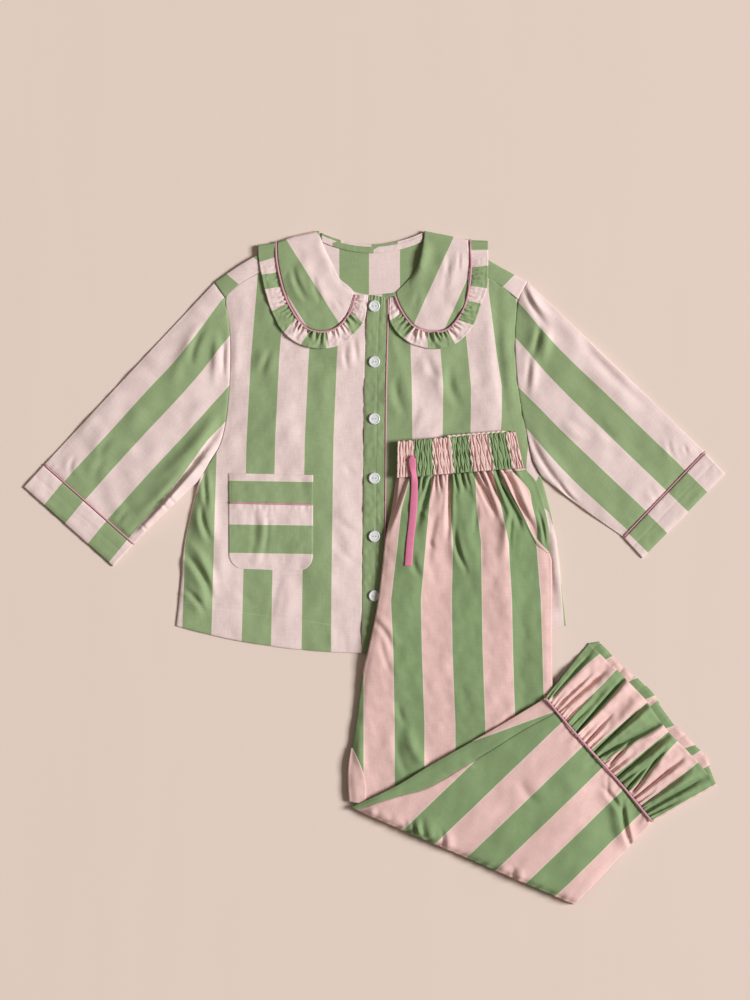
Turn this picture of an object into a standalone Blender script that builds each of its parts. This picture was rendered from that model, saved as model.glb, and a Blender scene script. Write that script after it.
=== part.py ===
"""A pyjama set laid flat: a long-sleeved shirt, and trousers folded in half and then up.

Everything is worked out in millimetres, with +X to the right, +Y towards the neck and +Z up
from the surface the set lies on, and is scaled to metres when a mesh is made. The pieces are
built in the order in which they lie: a height map of what is already there carries the next.
"""
import math
from typing import NamedTuple

import bmesh
import bpy
import numpy as np
from mathutils import Vector
from mathutils.bvhtree import BVHTree

MM = 0.001
CLOTH = 1.3             # wall of one layer
SEAM = 0.4              # air between pieces that are sewn together or lie on each other
PIPING_RADIUS = 1.4
PIPING_SEAM = 2.5       # half the slot that piping fills between two panels

GREEN = (0.23, 0.36, 0.16)
PINK = (0.80, 0.58, 0.53)
ROSE = (0.60, 0.16, 0.27)
WHITE = (0.82, 0.84, 0.80)

# Shirt
HEM_LOW = -137.0        # lowest point of the hem, at the centre front
HEM_RISE = 44.0         # how far the hem rises to each side seam
HEM_HALF = 314.0
CENTRE = -4.0
FOLD_HEIGHT = 3.4       # back and shoulder, folded on each other
YOKE_DEPTH = 29.0       # how far the back comes forward over the shoulder
COLLAR_LIFT = 3.4       # the hidden collar and ruffle lift the upper back
FOLD_CLEAR = 3.5        # how far the collar stands out past the shoulder's fold
FRONT_SHARES = tuple(0.97 * i / 13 for i in range(14))
NECK_BACK = 515.0
NECK_RISE = 20.0
NECK_HALF = 84.0
SLEEVE_HEIGHT = 3.6
CUFF_SEAM = 2.0         # half the slot between sleeve and cuff
BUTTON_RADIUS = 9.1
BUTTON_HEIGHT = 3.0

# Trousers
LEG_CLOTH = 1.6
LEG_LAYERS = 7.0        # hidden layers of the legs
FOLDED_LAYERS = 6.0     # hidden layers of the lower legs
EDGE_INSET = 5.0        # hidden layers end this far inside the outline
CREASE_RADIUS = 9.0
WAIST_PUCKERS = 38
LEG_GATHERS = 18
COLLAR_GATHERS = 24     # on each front
BACK_GATHERS = 9        # on the hidden back of the collar
TAPE_WIDTH = 12.0
TAPE_THICK = 1.1


class Place(NamedTuple):
    """One point of an outline, seen from above."""
    x: float
    y: float


class Fold(NamedTuple):
    """A soft ridge, or a trough where the height is negative."""
    x0: float
    y0: float
    x1: float
    y1: float
    height: float
    width: float


SHOULDER_LEFT = (Place(-255, 457), Place(-215, 484), Place(-172, 508), Place(-130, 526), Place(-88, 535))
SHOULDER_RIGHT = (Place(80, 534), Place(115, 527), Place(158, 506), Place(201, 481), Place(244, 458))

ARMHOLE_LEFT = (Place(-279, 140), Place(-262, 170), Place(-246, 198), Place(-237, 236), Place(-232, 285),
                Place(-230, 338), Place(-232, 388), Place(-240, 433), Place(-255, 457))
ARMHOLE_RIGHT = (Place(266, 146), Place(252, 175), Place(244, 212), Place(236, 248), Place(229, 292),
                 Place(225, 340), Place(225, 386), Place(230, 430), Place(244, 458))
SIDE_LEFT = (Place(-316, -93), Place(-308, -20), Place(-303, 38), Place(-290, 96), Place(-279, 140))
SIDE_RIGHT = (Place(306, -92), Place(300, -39), Place(294, 19), Place(283, 80), Place(266, 146))

NECK_LEFT = (Place(-82, 505), Place(-70, 483), Place(-59, 462), Place(-45, 449), Place(-28, 441),
             Place(-9, 438))
NECK_RIGHT = (Place(-3, 436), Place(16, 438), Place(37, 441), Place(56, 459), Place(70, 477), Place(77, 503))
PLACKET_LEFT = (Place(-20.5, -136), Place(-17, 160), Place(-16, 286), Place(-13, 387), Place(-8, 436))
PLACKET_RIGHT = (Place(14.5, -136), Place(16.5, 142), Place(17.5, 286), Place(20, 387), Place(20.5, 432))
UNDERLAP = (Place(-15, -136), Place(-12, 160), Place(-10, 286), Place(-8, 387), Place(-3, 436))

SLEEVE_TOP_LEFT = (Place(-255, 457), Place(-393, 310), Place(-528, 165))
SLEEVE_LOW_LEFT = (Place(-279, 140), Place(-324, 97), Place(-385, 38))
CUFF_LEFT = (Place(-561, 129), Place(-418, 2))
SLEEVE_TOP_RIGHT = (Place(244, 458), Place(390, 319), Place(528, 185))
SLEEVE_LOW_RIGHT = (Place(266, 146), Place(331, 96), Place(398, 49))
CUFF_RIGHT = (Place(561, 150), Place(429, 15))

# The collar's neck edge and outer edge, from each centre front to the shoulder fold
COLLAR_IN_LEFT = (Place(-34, 443), Place(-42, 451), Place(-56, 463), Place(-66, 484), Place(-79, 511),
                  Place(-88, 533))
COLLAR_OUT_LEFT = (Place(-33, 436), Place(-40, 412), Place(-56, 390), Place(-72, 381), Place(-90, 379),
                   Place(-109, 385), Place(-122, 399), Place(-138, 428), Place(-148, 460), Place(-154, 492),
                   Place(-155, 515))
COLLAR_IN_RIGHT = (Place(36, 441), Place(53, 459), Place(67, 476), Place(74, 500), Place(80, 532))
COLLAR_OUT_RIGHT = (Place(36, 434), Place(44, 415), Place(60, 392), Place(75, 382), Place(96, 379),
                    Place(116, 383), Place(131, 398), Place(144, 423), Place(150, 455), Place(152, 489),
                    Place(150, 510))
RUFFLE_OUT_LEFT = (Place(-9, 436), Place(-12, 414), Place(-17, 393), Place(-34, 372), Place(-45, 361),
                   Place(-71, 351), Place(-98, 351), Place(-122, 358), Place(-148, 379), Place(-165, 412),
                   Place(-175, 444), Place(-182, 475), Place(-186, 499))
RUFFLE_OUT_RIGHT = (Place(25, 432), Place(24, 399), Place(35, 377), Place(57, 359), Place(88, 350),
                    Place(111, 351), Place(136, 362), Place(158, 387), Place(171, 422), Place(180, 446),
                    Place(182, 478), Place(182, 492))
COLLAR_BACK = 80.0      # depth of the hidden collar at the centre back
COLLAR_HALF = 153.0     # its half width at the shoulders
COLLAR_CENTRE = 520.0   # the height on the body where that width lies
RUFFLE_WIDTH = 28.0

POCKET = (Place(-233, 151), Place(-98, 148))
POCKET_DROP = 153.0
POCKET_BAND = 52.0
POCKET_CORNER = 24.0
BUTTON_ROWS = (418.0, 329.0, 238.0, 143.0, 50.0, -45.0)

SHIRT_FOLDS = (
    Fold(-296, 110, -262, 44, -2.6, 11), Fold(-298, 40, -264, -26, -2.8, 11),
    Fold(-304, -8, -262, -62, -2.2, 10), Fold(-140, 330, -60, 130, 1.6, 26),
    Fold(-215, 330, -190, 170, 1.4, 22), Fold(-60, 60, -70, -110, 1.5, 26),
    Fold(-190, -20, -180, -115, 1.3, 24), Fold(60, 330, 50, 215, -2.4, 13),
    Fold(110, 318, 135, 260, -2.6, 14), Fold(170, 400, 200, 240, 1.6, 24), Fold(95, 330, 80, 220, 1.6, 18),
)
SLEEVE_FOLDS = (
    Fold(-250, 400, -350, 270, 1.6, 20), Fold(-300, 180, -400, 90, 1.8, 16),
    Fold(-262, 190, -330, 160, 1.6, 10), Fold(-380, 260, -470, 165, 1.2, 18),
    Fold(245, 400, 350, 290, 1.6, 20), Fold(262, 200, 360, 130, 1.6, 14),
    Fold(380, 260, 470, 170, 1.2, 18), Fold(300, 300, 400, 190, -1.2, 14),
)

WAIST = (Place(37.5, 201), Place(225, 217))
WAIST_SEAM = (Place(36.5, 144), Place(238, 160))
LEG_LEFT = (Place(36, 142), Place(28, 89), Place(19, 47), Place(14, 4), Place(3.5, -57), Place(-9, -128),
            Place(-17, -166), Place(-28, -246), Place(-36, -296), Place(-41, -330), Place(-37, -380))
LEG_RIGHT = (Place(238, 160), Place(256, 134), Place(271, 89), Place(279, 25), Place(283, -7),
             Place(284, -190), Place(296, -380), Place(319, -537))
CREASE = (Place(-37, -383), Place(319, -537))
FOLDED_TOP = (Place(-37, -383), Place(34, -349), Place(90, -315), Place(176, -266), Place(244, -226),
              Place(273, -208))
FOLDED_LOW = (Place(319, -537), Place(372, -483), Place(444, -406))
LEG_END = (Place(273, -208), Place(324, -268), Place(388, -339), Place(444, -406))
RUFFLE_END = (Place(344, -121), Place(387, -165), Place(435, -215), Place(472, -265), Place(518, -311),
              Place(547, -347))
LEG_FOLDS = (
    Fold(60, 140, 47, 60, 3.0, 6), Fold(90, 140, 80, 70, -3.0, 7), Fold(122, 142, 126, 66, -3.2, 7),
    Fold(150, 146, 150, 84, 3.0, 7), Fold(162, 146, 192, 60, -3.2, 8), Fold(190, 152, 226, 50, 3.4, 8),
    Fold(206, 154, 248, 70, -3.0, 7), Fold(104, 142, 104, 92, 2.4, 6), Fold(60, 60, 40, -120, 1.8, 22),
    Fold(210, 20, 215, -150, 1.6, 24), Fold(130, -10, 110, -200, 1.2, 26), Fold(262, 40, 268, -90, -1.6, 10),
    Fold(236, 66, 284, 18, -1.6, 5),
)
TAPE = (Place(60, 179), Place(61.5, 159), Place(64, 139), Place(62, 89), Place(57, 41), Place(54, 3))

scene_parts = bpy.data.collections.new("pyjama_set")


def path(places):
    """A smooth curve through the places: a function of the share of its length."""
    pts = np.array([(p.x, p.y) for p in places], float)
    if len(pts) > 2:
        ends = np.vstack([2 * pts[0] - pts[1], pts, 2 * pts[-1] - pts[-2]])
        dense = []
        for a, b, c, d in zip(ends, ends[1:], ends[2:], ends[3:]):
            for t in np.linspace(0, 1, 12, endpoint=False):
                dense.append(0.5 * (2 * b + (c - a) * t + (2 * a - 5 * b + 4 * c - d) * t ** 2
                                    + (3 * b - a - 3 * c + d) * t ** 3))
        pts = np.vstack([dense, pts[-1:]])
    run = np.concatenate([[0], np.cumsum(np.linalg.norm(np.diff(pts, axis=0), axis=1))])

    def at(share):
        want = share * run[-1]
        return np.array([np.interp(want, run, pts[:, 0]), np.interp(want, run, pts[:, 1])])
    return at


def lengths(places):
    """Share of a polyline's length at each of its places."""
    pts = np.array([(p.x, p.y) for p in places], float)
    run = np.concatenate([[0], np.cumsum(np.linalg.norm(np.diff(pts, axis=0), axis=1))])
    return run / run[-1]


def resample(places, shares):
    """Places along a smooth curve at the given shares of its length."""
    line = path(places)
    return [Place(*line(s)) for s in shares]


def patch(bottom, top, left, right):
    """Rows of plan points that fill four edges; each pair of opposite edges has as many places."""
    us = (lengths(bottom) + lengths(top)) / 2
    vs = (lengths(left) + lengths(right)) / 2
    b, t, l, r = (np.array([(p.x, p.y) for p in edge], float) for edge in (bottom, top, left, right))
    rows = []
    for j, v in enumerate(vs):
        row = []
        for i, u in enumerate(us):
            corners = (1 - u) * ((1 - v) * b[0] + v * t[0]) + u * ((1 - v) * b[-1] + v * t[-1])
            row.append((1 - v) * b[i] + v * t[i] + (1 - u) * l[j] + u * r[j] - corners)
        rows.append(row)
    return rows


def hump(share, power):
    """0 at both ends and 1 in the middle."""
    return max(0.0, math.sin(math.pi * min(max(share, 0.0), 1.0))) ** power


def relief(x, y, folds):
    """Height of the soft folds at a place."""
    total = 0.0
    for f in folds:
        run = np.array([f.x1 - f.x0, f.y1 - f.y0])
        off = np.array([x - f.x0, y - f.y0])
        t = float(off @ run) / float(run @ run)
        if -0.2 < t < 1.2:
            away = off - run * min(max(t, 0.0), 1.0)
            ends = math.sin(math.pi * (t + 0.2) / 1.4)
            total += f.height * ends * math.exp(-float(away @ away) / f.width ** 2)
    return total


class Pile:
    """A height map of what already lies on the surface."""
    CELL = 3.0
    LEFT, RIGHT, LOW, HIGH = -600.0, 600.0, -570.0, 570.0

    def __init__(self):
        self.xs = np.arange(self.LEFT, self.RIGHT, self.CELL)
        self.ys = np.arange(self.LOW, self.HIGH, self.CELL)
        self.z = np.zeros((len(self.ys), len(self.xs)))

    def add(self, *items):
        """Note the items' tops."""
        bpy.context.view_layer.update()
        depsgraph = bpy.context.evaluated_depsgraph_get()
        down = Vector((0, 0, -1))
        for item in items:
            tree = BVHTree.FromObject(item, depsgraph)
            shape = item.evaluated_get(depsgraph)
            box = np.array([c[:] for c in shape.bound_box]) / MM
            low, high = box.min(axis=0), box.max(axis=0)
            for j in np.flatnonzero((self.ys >= low[1]) & (self.ys <= high[1])):
                for i in np.flatnonzero((self.xs >= low[0]) & (self.xs <= high[0])):
                    start = Vector((self.xs[i] * MM, self.ys[j] * MM, 1.0))
                    hit = tree.ray_cast(start, down)[0]
                    if hit is not None:
                        self.z[j, i] = max(self.z[j, i], hit.z / MM)

    def spread(self, reach, slope, level=4.5):
        """The heights as cloth tents over them: each top stays level a little way, then falls off."""
        steps = int(reach / self.CELL)
        out = self.z.copy()
        rows, cols = self.z.shape
        for dj in range(-steps, steps + 1):
            for di in range(-steps, steps + 1):
                away = math.hypot(di, dj) * self.CELL
                if 0 < away <= reach:
                    here = (slice(max(0, dj), rows + min(0, dj)), slice(max(0, di), cols + min(0, di)))
                    there = (slice(max(0, -dj), rows + min(0, -dj)), slice(max(0, -di), cols + min(0, -di)))
                    fall = slope * max(0.0, away - level)
                    out[here] = np.maximum(out[here], self.z[there] - fall)
        return Cover(self, out)


class Cover:
    """A height map that can be read anywhere."""

    def __init__(self, pile, z):
        self.pile = pile
        self.z = z

    def __call__(self, x, y):
        fx = min(max((x - Pile.LEFT) / Pile.CELL, 0.0), self.z.shape[1] - 1.001)
        fy = min(max((y - Pile.LOW) / Pile.CELL, 0.0), self.z.shape[0] - 1.001)
        i, j = int(fx), int(fy)
        a, b = fx - i, fy - j
        near = self.z[j, i] * (1 - a) + self.z[j, i + 1] * a
        far = self.z[j + 1, i] * (1 - a) + self.z[j + 1, i + 1] * a
        return near * (1 - b) + far * b


def material(name, colour, roughness=0.8):
    """A plain material."""
    made = bpy.data.materials.new(name)
    made.use_nodes = True
    shader = made.node_tree.nodes["Principled BSDF"]
    shader.inputs["Base Color"].default_value = (*colour, 1.0)
    shader.inputs["Roughness"].default_value = roughness
    return made


def place_object(name, mesh, colour):
    """Link a mesh into the scene with its own material."""
    mesh.materials.append(material(name, colour))
    mesh.shade_smooth()
    item = bpy.data.objects.new(name, mesh)
    scene_parts.objects.link(item)
    return item


def grid_mesh(rows, ring=False):
    """An open surface through rows of points; ring closes each row on itself."""
    bm = bmesh.new()
    lines = [[bm.verts.new([c * MM for c in p]) for p in row] for row in rows]
    for low, high in zip(lines, lines[1:]):
        count = len(low) if ring else len(low) - 1
        for i in range(count):
            k = (i + 1) % len(low)
            bm.faces.new((low[i], low[k], high[k], high[i]))
    return bm, lines


def slab(name, rows, thickness, colour):
    """A cloth panel over rows of underside points, with upright edges."""
    bm, lines = grid_mesh(rows)
    made = bmesh.ops.extrude_face_region(bm, geom=bm.faces[:], use_keep_orig=True)["geom"]
    raised = [g for g in made if isinstance(g, bmesh.types.BMVert)]
    bmesh.ops.translate(bm, vec=(0, 0, thickness * MM), verts=raised)
    bmesh.ops.recalc_face_normals(bm, faces=bm.faces[:])
    mesh = bpy.data.meshes.new(name)
    bm.to_mesh(mesh)
    bm.free()
    return place_object(name, mesh, colour)


def finish_wall(name, bm, thickness, colour, grow):
    """Give an open surface its thickness; grow is 1 where it lies along the faces' normals."""
    mesh = bpy.data.meshes.new(name)
    bm.to_mesh(mesh)
    bm.free()
    item = place_object(name, mesh, colour)
    solid = item.modifiers.new("wall", "SOLIDIFY")
    solid.thickness = thickness * MM
    solid.offset = grow
    solid.use_even_offset = True
    solid.use_quality_normals = True
    return item


def wall(name, rows, thickness, colour, grow, ring=False):
    """A cloth wall inside rows of outer points."""
    bm, lines = grid_mesh(rows, ring)
    return finish_wall(name, bm, thickness, colour, grow)


def layered(name, left, right, base, height, colour, sections, layers=3, across=8):
    """Hidden layers as one solid: its sections run from left to right and its edges are ribbed."""
    groove = 2.2
    bm = bmesh.new()
    rings = []
    steps = [(groove, 0.0)]
    for k in range(layers):
        steps += [(0.0, (k + 0.25) / layers), (0.0, (k + 0.75) / layers), (groove, (k + 1.0) / layers)]
    for s in sections:
        a, b = left(s), right(s)
        way = (b - a) / np.linalg.norm(b - a)
        ring = []
        for i in range(1, across):
            p = a + (b - a) * i / across
            ring.append((p, 0.0))
        ring += [(b - way * inset, share) for inset, share in steps]
        for i in range(across - 1, 0, -1):
            p = a + (b - a) * i / across
            ring.append((p, 1.0))
        ring += [(a + way * inset, share) for inset, share in reversed(steps)]
        rings.append([bm.verts.new((p[0] * MM, p[1] * MM, (base(*p) + share * height) * MM))
                      for p, share in ring])
    for low, high in zip(rings, rings[1:]):
        for i in range(len(low)):
            k = (i + 1) % len(low)
            bm.faces.new((low[i], low[k], high[k], high[i]))
    bm.faces.new(rings[0])
    bm.faces.new(rings[-1])
    bmesh.ops.recalc_face_normals(bm, faces=bm.faces[:])
    mesh = bpy.data.meshes.new(name)
    bm.to_mesh(mesh)
    bm.free()
    return place_object(name, mesh, colour)


def piping(name, points, colour=ROSE, radius=PIPING_RADIUS, closed=False):
    """A covered cord in a seam."""
    curve = bpy.data.curves.new(name, "CURVE")
    curve.dimensions = "3D"
    curve.bevel_depth = radius * MM
    curve.bevel_resolution = 1
    curve.use_fill_caps = not closed
    spline = curve.splines.new("POLY")
    spline.points.add(len(points) - 1)
    for point, (x, y, z) in zip(spline.points, points):
        point.co = (x * MM, y * MM, z * MM, 1.0)
    spline.use_cyclic_u = closed
    curve.materials.append(material(name, colour))
    item = bpy.data.objects.new(name, curve)
    scene_parts.objects.link(item)
    return item


def hem_edge(x0, x1, shares):
    """Places along the shirt's curved hem between two sides."""
    xs = [x0 + (x1 - x0) * share for share in shares]
    return [Place(x, HEM_LOW + HEM_RISE * ((x - CENTRE) / HEM_HALF) ** 2) for x in xs]


def neck_y(x):
    """The back neck's edge."""
    return NECK_BACK + NECK_RISE * ((x - CENTRE) / NECK_HALF) ** 2


def shoulder_y(x):
    """The fold along the shoulders, straight over the neck between them."""
    spots = SHOULDER_LEFT + SHOULDER_RIGHT
    return float(np.interp(x, [p.x for p in spots], [p.y for p in spots]))


def under_collar(x, y):
    """How far the hidden collar lifts the upper back."""
    away = math.hypot((x - CENTRE) / 200.0, (y - COLLAR_CENTRE) / 128.0)
    share = min(max((1.5 - away) / 0.5, 0.0), 1.0)
    return COLLAR_LIFT * share * share * (3 - 2 * share)


def yoke_ends(shoulder, armhole):
    """Where the shoulder's strip ends on the front, below each place of the fold."""
    ends = []
    for p in shoulder:
        at_armhole = p == armhole[-1]
        ends.append(armhole[-2] if at_armhole else Place(p.x, p.y - YOKE_DEPTH))
    return ends


def shirt_back():
    """The back with its shoulders folded forward; its outer points, underside first."""
    radius = FOLD_HEIGHT / 2
    folds = SHOULDER_LEFT + tuple(Place(x, neck_y(x) + radius) for x in (-50, CENTRE, 45)) + SHOULDER_RIGHT
    top = [Place(p.x, p.y - radius) for p in folds]
    hem = hem_edge(SIDE_LEFT[0].x, SIDE_RIGHT[0].x, lengths(top))
    left = SIDE_LEFT[:-1] + ARMHOLE_LEFT[:-1] + (top[0],)
    right = SIDE_RIGHT[:-1] + ARMHOLE_RIGHT[:-1] + (top[-1],)
    rows = [[(x, y, under_collar(x, y)) for x, y in row] for row in patch(hem, top, left, right)]
    bm, lines = grid_mesh(rows)
    strips = ((0, yoke_ends(SHOULDER_LEFT, ARMHOLE_LEFT)),
              (len(top) - len(SHOULDER_RIGHT), yoke_ends(SHOULDER_RIGHT, ARMHOLE_RIGHT)))
    for first, ends in strips:
        cols = range(first, first + len(ends))
        last = [lines[-1][i] for i in cols]
        shape = [(math.sin(a) * radius, radius - radius * math.cos(a), 0.0) for a in (0.8, 1.57, 2.35, 3.14)]
        shape += [(0.0, FOLD_HEIGHT, 0.5), (0.0, FOLD_HEIGHT, 1.0)]
        for dy, dz, share in shape:
            line = []
            for i, end in zip(cols, ends):
                x = top[i].x + (end.x - top[i].x) * share
                y = top[i].y + dy + (end.y - top[i].y) * share
                line.append(bm.verts.new((x * MM, y * MM, (under_collar(x, min(y, top[i].y)) + dz) * MM)))
            for i in range(len(line) - 1):
                bm.faces.new((last[i], last[i + 1], line[i + 1], line[i]))
            last = line
    return finish_wall("shirt_back", bm, CLOTH, GREEN, 1)


def front(name, top, left, right, colour):
    """One front, resting on the back with air under its middle."""
    bottom = hem_edge(left[0].x, right[0].x, lengths(top))
    plan = patch(bottom, top, left, right)
    rows = []
    for j, row in enumerate(plan):
        line = []
        for i, (x, y) in enumerate(row):
            middle = hump(i / (len(row) - 1), 0.6) * hump(j / (len(plan) - 1), 0.6)
            air = max(0.0, 2.2 + relief(x, y, SHIRT_FOLDS)) * middle
            lift = under_collar(x * 0.94, y + 14.0)
            line.append((x, y, CLOTH + SEAM + lift + air))
        rows.append(line)
    return slab(name, rows, CLOTH, colour)


def moved_out(places, away):
    """Places of a polyline, each moved to its left by a distance."""
    pts = np.array([(p.x, p.y) for p in places], float)
    ways = np.gradient(pts, axis=0)
    ways /= np.linalg.norm(ways, axis=1)[:, None]
    return [Place(x - dy * away, y + dx * away) for (x, y), (dx, dy) in zip(pts, ways)]


def sleeve(name, armhole, top_edge, low_edge, colour, grow):
    """A flattened open tube from the armhole to the cuff."""
    side = 1 if armhole[0].x > 0 else -1
    head = moved_out(armhole, -side * 1.15)[::-1]
    head[0] = Place(head[0].x + side * 0.6, head[0].y - 0.4)
    shares = [k / 8 for k in range(9)]
    out = (Place(*(np.array(top_edge[-1]) + np.array((-0.72 * side, 0.69)) * CUFF_SEAM)),
           Place(*(np.array(low_edge[-1]) + np.array((-0.72 * side, 0.69)) * CUFF_SEAM)))
    wrist = resample(out, lengths(head))
    top = resample((head[0],) + top_edge[1:-1] + (wrist[0],), shares)
    low = resample((head[-1],) + low_edge[1:-1] + (wrist[-1],), shares)
    rings = []
    across = len(head) - 1
    for k, plan in enumerate(patch(head, wrist, top, low)):
        s = k / 8
        under = [(p[0], p[1], 0.0) for p in plan[1:-1]]
        over = []
        for i in range(across - 1, 0, -1):
            x, y = plan[i]
            air = max(0.0, 3.0 + relief(x, y, SLEEVE_FOLDS)) * hump(i / across, 0.5) * hump(s, 0.5)
            over.append((x, y, SLEEVE_HEIGHT + air))
        rings.append(fold_end(plan[0], plan[1]) + under + fold_end(plan[-1], plan[-2])[::-1] + over)
    return wall(name, rings, CLOTH, colour, grow, ring=True)


def fold_end(edge, inner, height=SLEEVE_HEIGHT):
    """Three points round the folded edge of a flattened tube, from its top to its underside."""
    way = (inner - edge) / np.linalg.norm(inner - edge)
    near = edge + way * height * 0.45
    return [(near[0], near[1], height), (edge[0], edge[1], height / 2), (near[0], near[1], 0.0)]


def cuff(name, wrist, edge, colour, grow):
    """The turned cuff: a short flattened tube past the sleeve's piping."""
    start, end = path(wrist), path(edge)
    way = (end(0.5) - start(0.5)) / np.linalg.norm(end(0.5) - start(0.5))
    rings = []
    across = 6
    for share in (0.0, 0.5, 1.0):
        plan = []
        for i in range(across + 1):
            w = i / across
            plan.append((1 - share) * (start(w) + way * CUFF_SEAM) + share * end(w))
        under = [(p[0], p[1], 0.0) for p in plan[1:-1]]
        over = [(p[0], p[1], SLEEVE_HEIGHT + 0.8 * math.sin(math.pi * share)) for p in plan[-2:0:-1]]
        rings.append(fold_end(plan[0], plan[1]) + under + fold_end(plan[-1], plan[-2])[::-1] + over)
    return wall(name, rings, CLOTH, colour, grow, ring=True)


def cuff_piping(name, wrist):
    """Piping all round the seam between sleeve and cuff, with a tight turn at both edges."""
    line = path(wrist)
    radius = 0.85
    low = radius
    high = SLEEVE_HEIGHT - 0.4
    shares = (0.01, 0.024, 0.125, 0.25, 0.375, 0.5, 0.625, 0.75, 0.875, 0.976, 0.99)
    across = [line(share) for share in shares]
    over = [(p[0], p[1], high) for p in across]
    under = [(p[0], p[1], low) for p in across[-2:0:-1]]
    over[0] = (over[0][0], over[0][1], (low + high) / 2)
    over[-1] = (over[-1][0], over[-1][1], (low + high) / 2)
    return piping(name, over + under, radius=radius, closed=True)


def back_curve(rx, ry):
    """The hidden back of the collar: half an ellipse below the neck, from left to right."""
    def at(share):
        angle = math.pi * (1 + share)
        return np.array([CENTRE + rx * math.cos(angle), COLLAR_CENTRE + ry * math.sin(angle)])
    return at


def over_shoulder(points, top):
    """Points of one cross-section carried over the shoulder fold, from the front to the underside."""
    rows = []
    for share in (1.0, 0.5, 0.0, -0.5, -1.0):
        angle = share * math.pi / 2
        row = []
        for x, y in points:
            radius = top / 2
            y = shoulder_y(x) + FOLD_CLEAR - radius + radius * math.cos(angle)
            row.append((x, y, radius + radius * math.sin(angle)))
        rows.append(row)
    return rows


def collar(cover):
    """The flat collar, in one ring: left front, over the shoulder, back, shoulder, right front."""
    across = 3
    top = COLLAR_LIFT + FOLD_HEIGHT + SEAM + CLOTH + 0.4

    def rows_between(inner, outer, shares, level):
        rows = []
        for s in shares:
            a, b = inner(s), outer(s)
            row = []
            for i in range(across + 1):
                x, y = a + (b - a) * i / across
                z = cover(x, y) + SEAM + CLOTH + 0.2 if level else 0.0
                row.append((x, y, z))
            rows.append(row)
        return rows

    def fold_points(inner, outer):
        a, b = inner(1), outer(1)
        return [a + (b - a) * i / across for i in range(across + 1)]

    in_left, out_left = path(COLLAR_IN_LEFT), path(COLLAR_OUT_LEFT)
    in_right, out_right = path(COLLAR_IN_RIGHT), path(COLLAR_OUT_RIGHT)
    back_in, back_out = back_curve(NECK_HALF, 5.0), back_curve(COLLAR_HALF, COLLAR_BACK)
    rows = rows_between(in_left, out_left, FRONT_SHARES, True)
    rows += over_shoulder(fold_points(in_left, out_left), top)
    rows += rows_between(back_in, back_out, [0.1 + 0.8 * i / 8 for i in range(9)], False)
    rows += over_shoulder(fold_points(in_right, out_right), top)[::-1]
    rows += rows_between(in_right, out_right, FRONT_SHARES[::-1], True)
    return wall("collar", rows, CLOTH, PINK, 1)


def collar_piping(cover):
    """Piping between the collar and its ruffle, all round."""
    low = PIPING_RADIUS
    high = COLLAR_LIFT + FOLD_HEIGHT + SEAM + PIPING_RADIUS + 0.3

    def beside(seam, edge, share):
        a, b = seam(share), edge(share)
        return a + (b - a) / np.linalg.norm(b - a) * 1.08 * PIPING_SEAM

    runs = []
    for seam, edge in ((COLLAR_OUT_LEFT, RUFFLE_OUT_LEFT), (COLLAR_OUT_RIGHT, RUFFLE_OUT_RIGHT)):
        seam, edge = path(seam), path(edge)
        run = [beside(seam, edge, share) for share in FRONT_SHARES]
        run = [(x, y, cover(x, y) + SEAM + PIPING_RADIUS) for x, y in run]
        x = beside(seam, edge, 1.0)[0]
        for turn in (1.57, 0.7, -0.7, -1.57):
            y = shoulder_y(x) - 1.6 + (FOLD_CLEAR + 1.6) * math.cos(turn)
            run.append((x, y, (high + low) / 2 + (high - low) / 2 * math.sin(turn)))
        runs.append(run)
    seam = back_curve(COLLAR_HALF, COLLAR_BACK)
    edge = back_curve(COLLAR_HALF + RUFFLE_WIDTH, COLLAR_BACK + RUFFLE_WIDTH)
    hidden = [beside(seam, edge, 0.1 + 0.8 * i / 8) for i in range(9)]
    under = [(x, y, PIPING_RADIUS) for x, y in hidden]
    return piping("collar_piping", runs[0] + under + runs[1][::-1], radius=1.2)


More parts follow.
